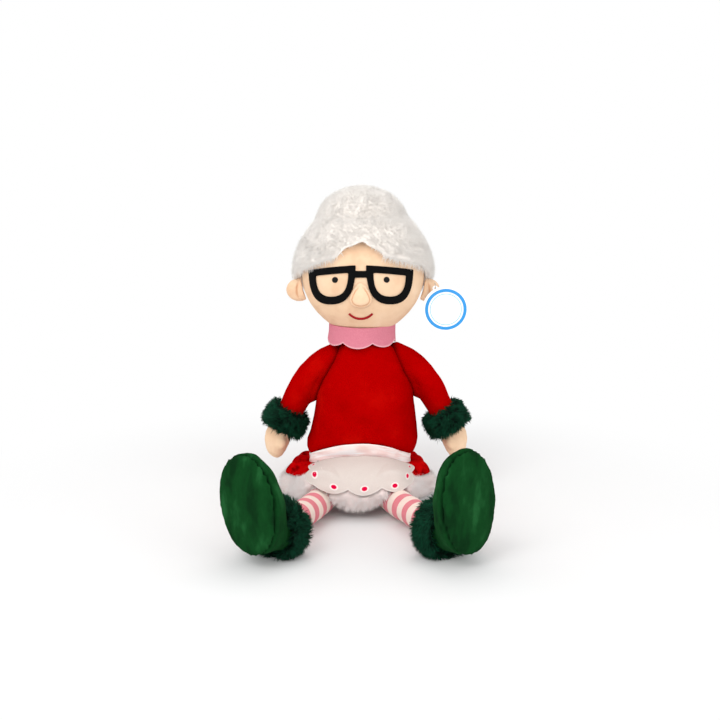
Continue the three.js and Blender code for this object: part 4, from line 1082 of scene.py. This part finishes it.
def off_the_head(middles, normals):
    """Hairs only on the outer side of the hair, none in the cut or against the head."""
    away = middles - HEAD_CENTRE
    away /= np.linalg.norm(away, axis=1, keepdims=True)
    facing = (away * normals).sum(axis=1)
    flat = (np.abs(middles[:, 2] / MM - BUN_FOOT) < 0.1) & (np.abs(normals[:, 2]) > 0.99)
    return step_between(facing, -0.1, 0.15) * ~flat


def longer_at_the_face(root):
    """The pile hangs over the forehead and the temples where the hair ends."""
    near = 1 - step_between(distance_to(head_skin, root), 4, 11)
    return 1 + 0.9 * near * (root[:, 1] < 0.03)


def brushed_down(root, out):
    """Hair combed down over the head, most where it ends."""
    down = np.array([[0, 0, -1.0]]) + out * out[:, 2:3]
    return down * (0.3 + 0.9 * (longer_at_the_face(root) - 1))[:, None]


whole_hair, hair, bun = head_of_hair()
furred(hair, 36000, 5.2, 0.55, lean=0.05, seed=7, clump=14, wild=0.5, flow=brushed_down,
       keep=off_the_head, stretch=longer_at_the_face, shape=SHORT_PILE, form=whole_hair, lift=HAIR_LIFT)
dressed(hair, "head", "white_fur", white_fur, "hair")
furred(bun, 19000, 5.2, 0.55, lean=0.05, seed=8, clump=14, wild=0.5, keep=off_the_head,
       shape=SHORT_PILE, form=whole_hair, lift=HAIR_LIFT)
dressed(bun, "head", "white_fur", white_fur, "hair_bun", fill=0.7)


def under_hem(points):
    """How far each point lies below the apron's hem, as a share."""
    spots = np.array([tuple(apron_skin.find_nearest(Vector(point))[0]) for point in points])
    return step_between((spots[:, 2] - points[:, 2]) / MM, 1, 4)


def beside_apron(middles, _normals=None):
    """No hairs where the apron lies on the trim."""
    return np.maximum(step_between(distance_to(apron_skin, middles), 4.5, 9.0), under_hem(middles))


def over_the_legs(root):
    """The trim's pile hangs longest in front, where it lies over the legs."""
    return 1 + 0.3 * step_between(-root[:, 1], 0.09, 0.11)


trim = stuffed("skirt_trim", 2.5, 3, puff=0, lump=(20, 1.2), subdivide=0)
beside, below = beside_apron(points_of(trim)), under_hem(points_of(trim))
front = step_between(-points_of(trim)[:, 1], 0.085, 0.105)
pushed(trim, 1.4 * beside - 0.6 + 5.0 * below * front)
furred(trim, 30000, 5.6, 0.6, lean=0.3, droop=0.15, seed=9, clump=7, keep=beside_apron,
       stretch=over_the_legs, shape=SHORT_PILE, lift=TRIM_LIFT)
dressed(trim, "body", "white_fur", trim_fur, "skirt_trim", fill=0.6)


# Face: felt and stitches laid on the head

def on_face(x, y, height=0.0):
    """The point over the head's skin at a place of the face's own plane."""
    start = (FACE_ORIGIN + Vector((x, 0, 0)) + FACE_UP * y + FACE_OUT * 200) * MM
    spot, normal, _, _ = head_skin.ray_cast(start, -FACE_OUT)
    return spot + normal * height * MM


LENS_STEPS = 24


def lens_line(centre, top, half, depth):
    """A lens: a flat top that falls outwards, and a round bottom."""
    fall = 0.1 * half
    left, right = (top - fall, top) if centre < 0 else (top, top - fall)
    low = top - depth
    line = [Vector((centre - half, left)), Vector((centre + half, right))]

    def bend(a, b, c, d):
        for i in range(1, LENS_STEPS + 1):
            t = i / LENS_STEPS
            s = 1 - t
            line.append(a * s ** 3 + b * 3 * s * s * t + c * 3 * s * t * t + d * t ** 3)
    bend(Vector((centre + half, right)), Vector((centre + half, top - 0.74 * depth)),
         Vector((centre + 0.66 * half, low)), Vector((centre, low)))
    bend(Vector((centre, low)), Vector((centre - 0.66 * half, low)),
         Vector((centre - half, top - 0.74 * depth)), Vector((centre - half, left)))
    return line[:-1]


def plate(name, outlines, thickness, voxel):
    """Flat felt of several overlapping outlines, each with its opening, as one fine even solid."""
    solids = []
    for outline, opening in outlines:
        curve = bpy.data.curves.new(name, "CURVE")
        curve.dimensions = "2D"
        curve.fill_mode = "BOTH"
        curve.extrude = thickness / 2
        for line in (outline, opening):
            if not line:
                continue
            spline = curve.splines.new("POLY")
            spline.points.add(len(line) - 1)
            for point, spot in zip(spline.points, line):
                point.co = (spot[0], spot[1], 0, 1)
            spline.use_cyclic_u = True
        alone(placed(name, curve))
        bpy.ops.object.convert(target="MESH")
        piece = bpy.context.object
        in_edit_mode(piece, lambda: bpy.ops.mesh.remove_doubles(threshold=0.001), outward)
        solids.append(piece)
    alone(solids[0])
    for other in solids[1:]:
        other.select_set(True)
    bpy.ops.object.join()
    piece = bpy.context.object
    piece.name = name
    return evened(piece, voxel, 1)


def pressed(piece, thickness):
    """Lay a flat plate, made in millimetres on the face's plane, on the head's skin."""
    moved_to(piece, np.array([tuple(on_face(x, y, z + thickness / 2)) for x, y, z in points_of(piece)]))
    return smooth(piece)


LENS = {"top": 12, "half": 29, "depth": 46}
OPENING = {"top": 3, "half": 20, "depth": 28}
BRIDGE_HALF, BRIDGE_LAP, BRIDGE_LOW, BRIDGE_HIGH = 6.3, 3, -2.9, 5.3
GLASSES_THICK, THREAD_THICK = 2.0, 1.2

lenses = []
for sign in (-1, 1):
    centre = FACE_MIDDLE + sign * (BRIDGE_HALF + LENS["half"])
    lenses.append((lens_line(centre, **LENS), lens_line(centre, **OPENING)))
left, right = (FACE_MIDDLE + sign * (BRIDGE_HALF + BRIDGE_LAP) for sign in (-1, 1))
lenses.append(([(left, BRIDGE_LOW), (right, BRIDGE_LOW), (right, BRIDGE_HIGH), (left, BRIDGE_HIGH)], None))
glasses = pressed(plate("spectacles", lenses, GLASSES_THICK, 0.55), GLASSES_THICK)
dressed(glasses, "head", "black_felt", black_felt, "glasses")

EYE = {"apart": 31.5, "height": -5, "radius": 3.6}


def stitched(node, outline, slot, thread):
    """Close stitches that fill an outline on the face."""
    piece = plate("stitched_" + node, [(outline, None)], THREAD_THICK, 0.4)
    dressed(pressed(piece, THREAD_THICK), "head", slot, thread, node)


for side, sign in SIDES.items():
    x, y = FACE_MIDDLE + sign * EYE["apart"], EYE["height"]
    rim = [(x + EYE["radius"] * math.cos(i * math.pi / 16), y + EYE["radius"] * math.sin(i * math.pi / 16))
           for i in range(32)]
    stitched(side + "_eye", rim, "black_thread", black_thread)

SMILE = {"half": 14.5, "deep": 6.2, "height": -45.7, "thread": 1.2, "steps": 24}
SMILE_RADIUS = (SMILE["half"] ** 2 + SMILE["deep"] ** 2) / (2 * SMILE["deep"])
smile = []
for side in (1, -1):
    for i in range(SMILE["steps"] + 1):
        angle = (i / SMILE["steps"] * 2 - 1) * math.asin(SMILE["half"] / SMILE_RADIUS) * side
        radius = SMILE_RADIUS + SMILE["thread"] * side
        smile.append((FACE_MIDDLE + radius * math.sin(angle),
                      SMILE_RADIUS - SMILE["deep"] + SMILE["height"] - radius * math.cos(angle)))
stitched("mouth", smile, "red_thread", red_thread)


# Tag

TAG_HOLE = Vector((91.6, -18, 274.5))
TAG_TURN = math.radians(27)
TAG_REACH = 30.7


def card_print():
    """White card with two plain blue rings and a bare middle."""
    paint = Paint("tag_card")
    middle = TAG_HOLE + Vector((math.sin(TAG_TURN), 0, -math.cos(TAG_TURN))) * TAG_REACH
    reach = paint.far_from(tuple(middle))
    ring = reach.between(22.3, 22.7) * (1 - reach.between(26.4, 26.8))
    line = reach.between(19.3, 19.6) * (1 - reach.between(20.2, 20.5))
    fibres = paint.grain(2, 3)
    white = paint.mixed(fibres * 0.3, srgb(250, 250, 250), srgb(240, 240, 241))
    colour = paint.mixed(ring, white, srgb(12, 145, 220))
    colour = paint.mixed(line, colour, srgb(120, 195, 235))
    return paint.surface({"Base Color": colour, "Roughness": 0.35, "Coat Weight": 0.2,
                          "Normal": paint.bump(fibres, 0.05, 0.3)})


for node, material in (("hang_tag", card_print()), ("tag_loop", clear_nylon())):
    for slot in frame["nodes"][node].material_slots:
        slot.material = material


# The doll sits on the floor, and nothing of it dips below

for piece in scene.objects:
    if piece.type == "MESH" and piece.name.startswith("plush"):
        spots = points_of(piece)
        if len(spots) and spots[:, 2].min() < 0:
            spots[:, 2] = np.maximum(spots[:, 2], 0)
            moved_to(piece, spots)
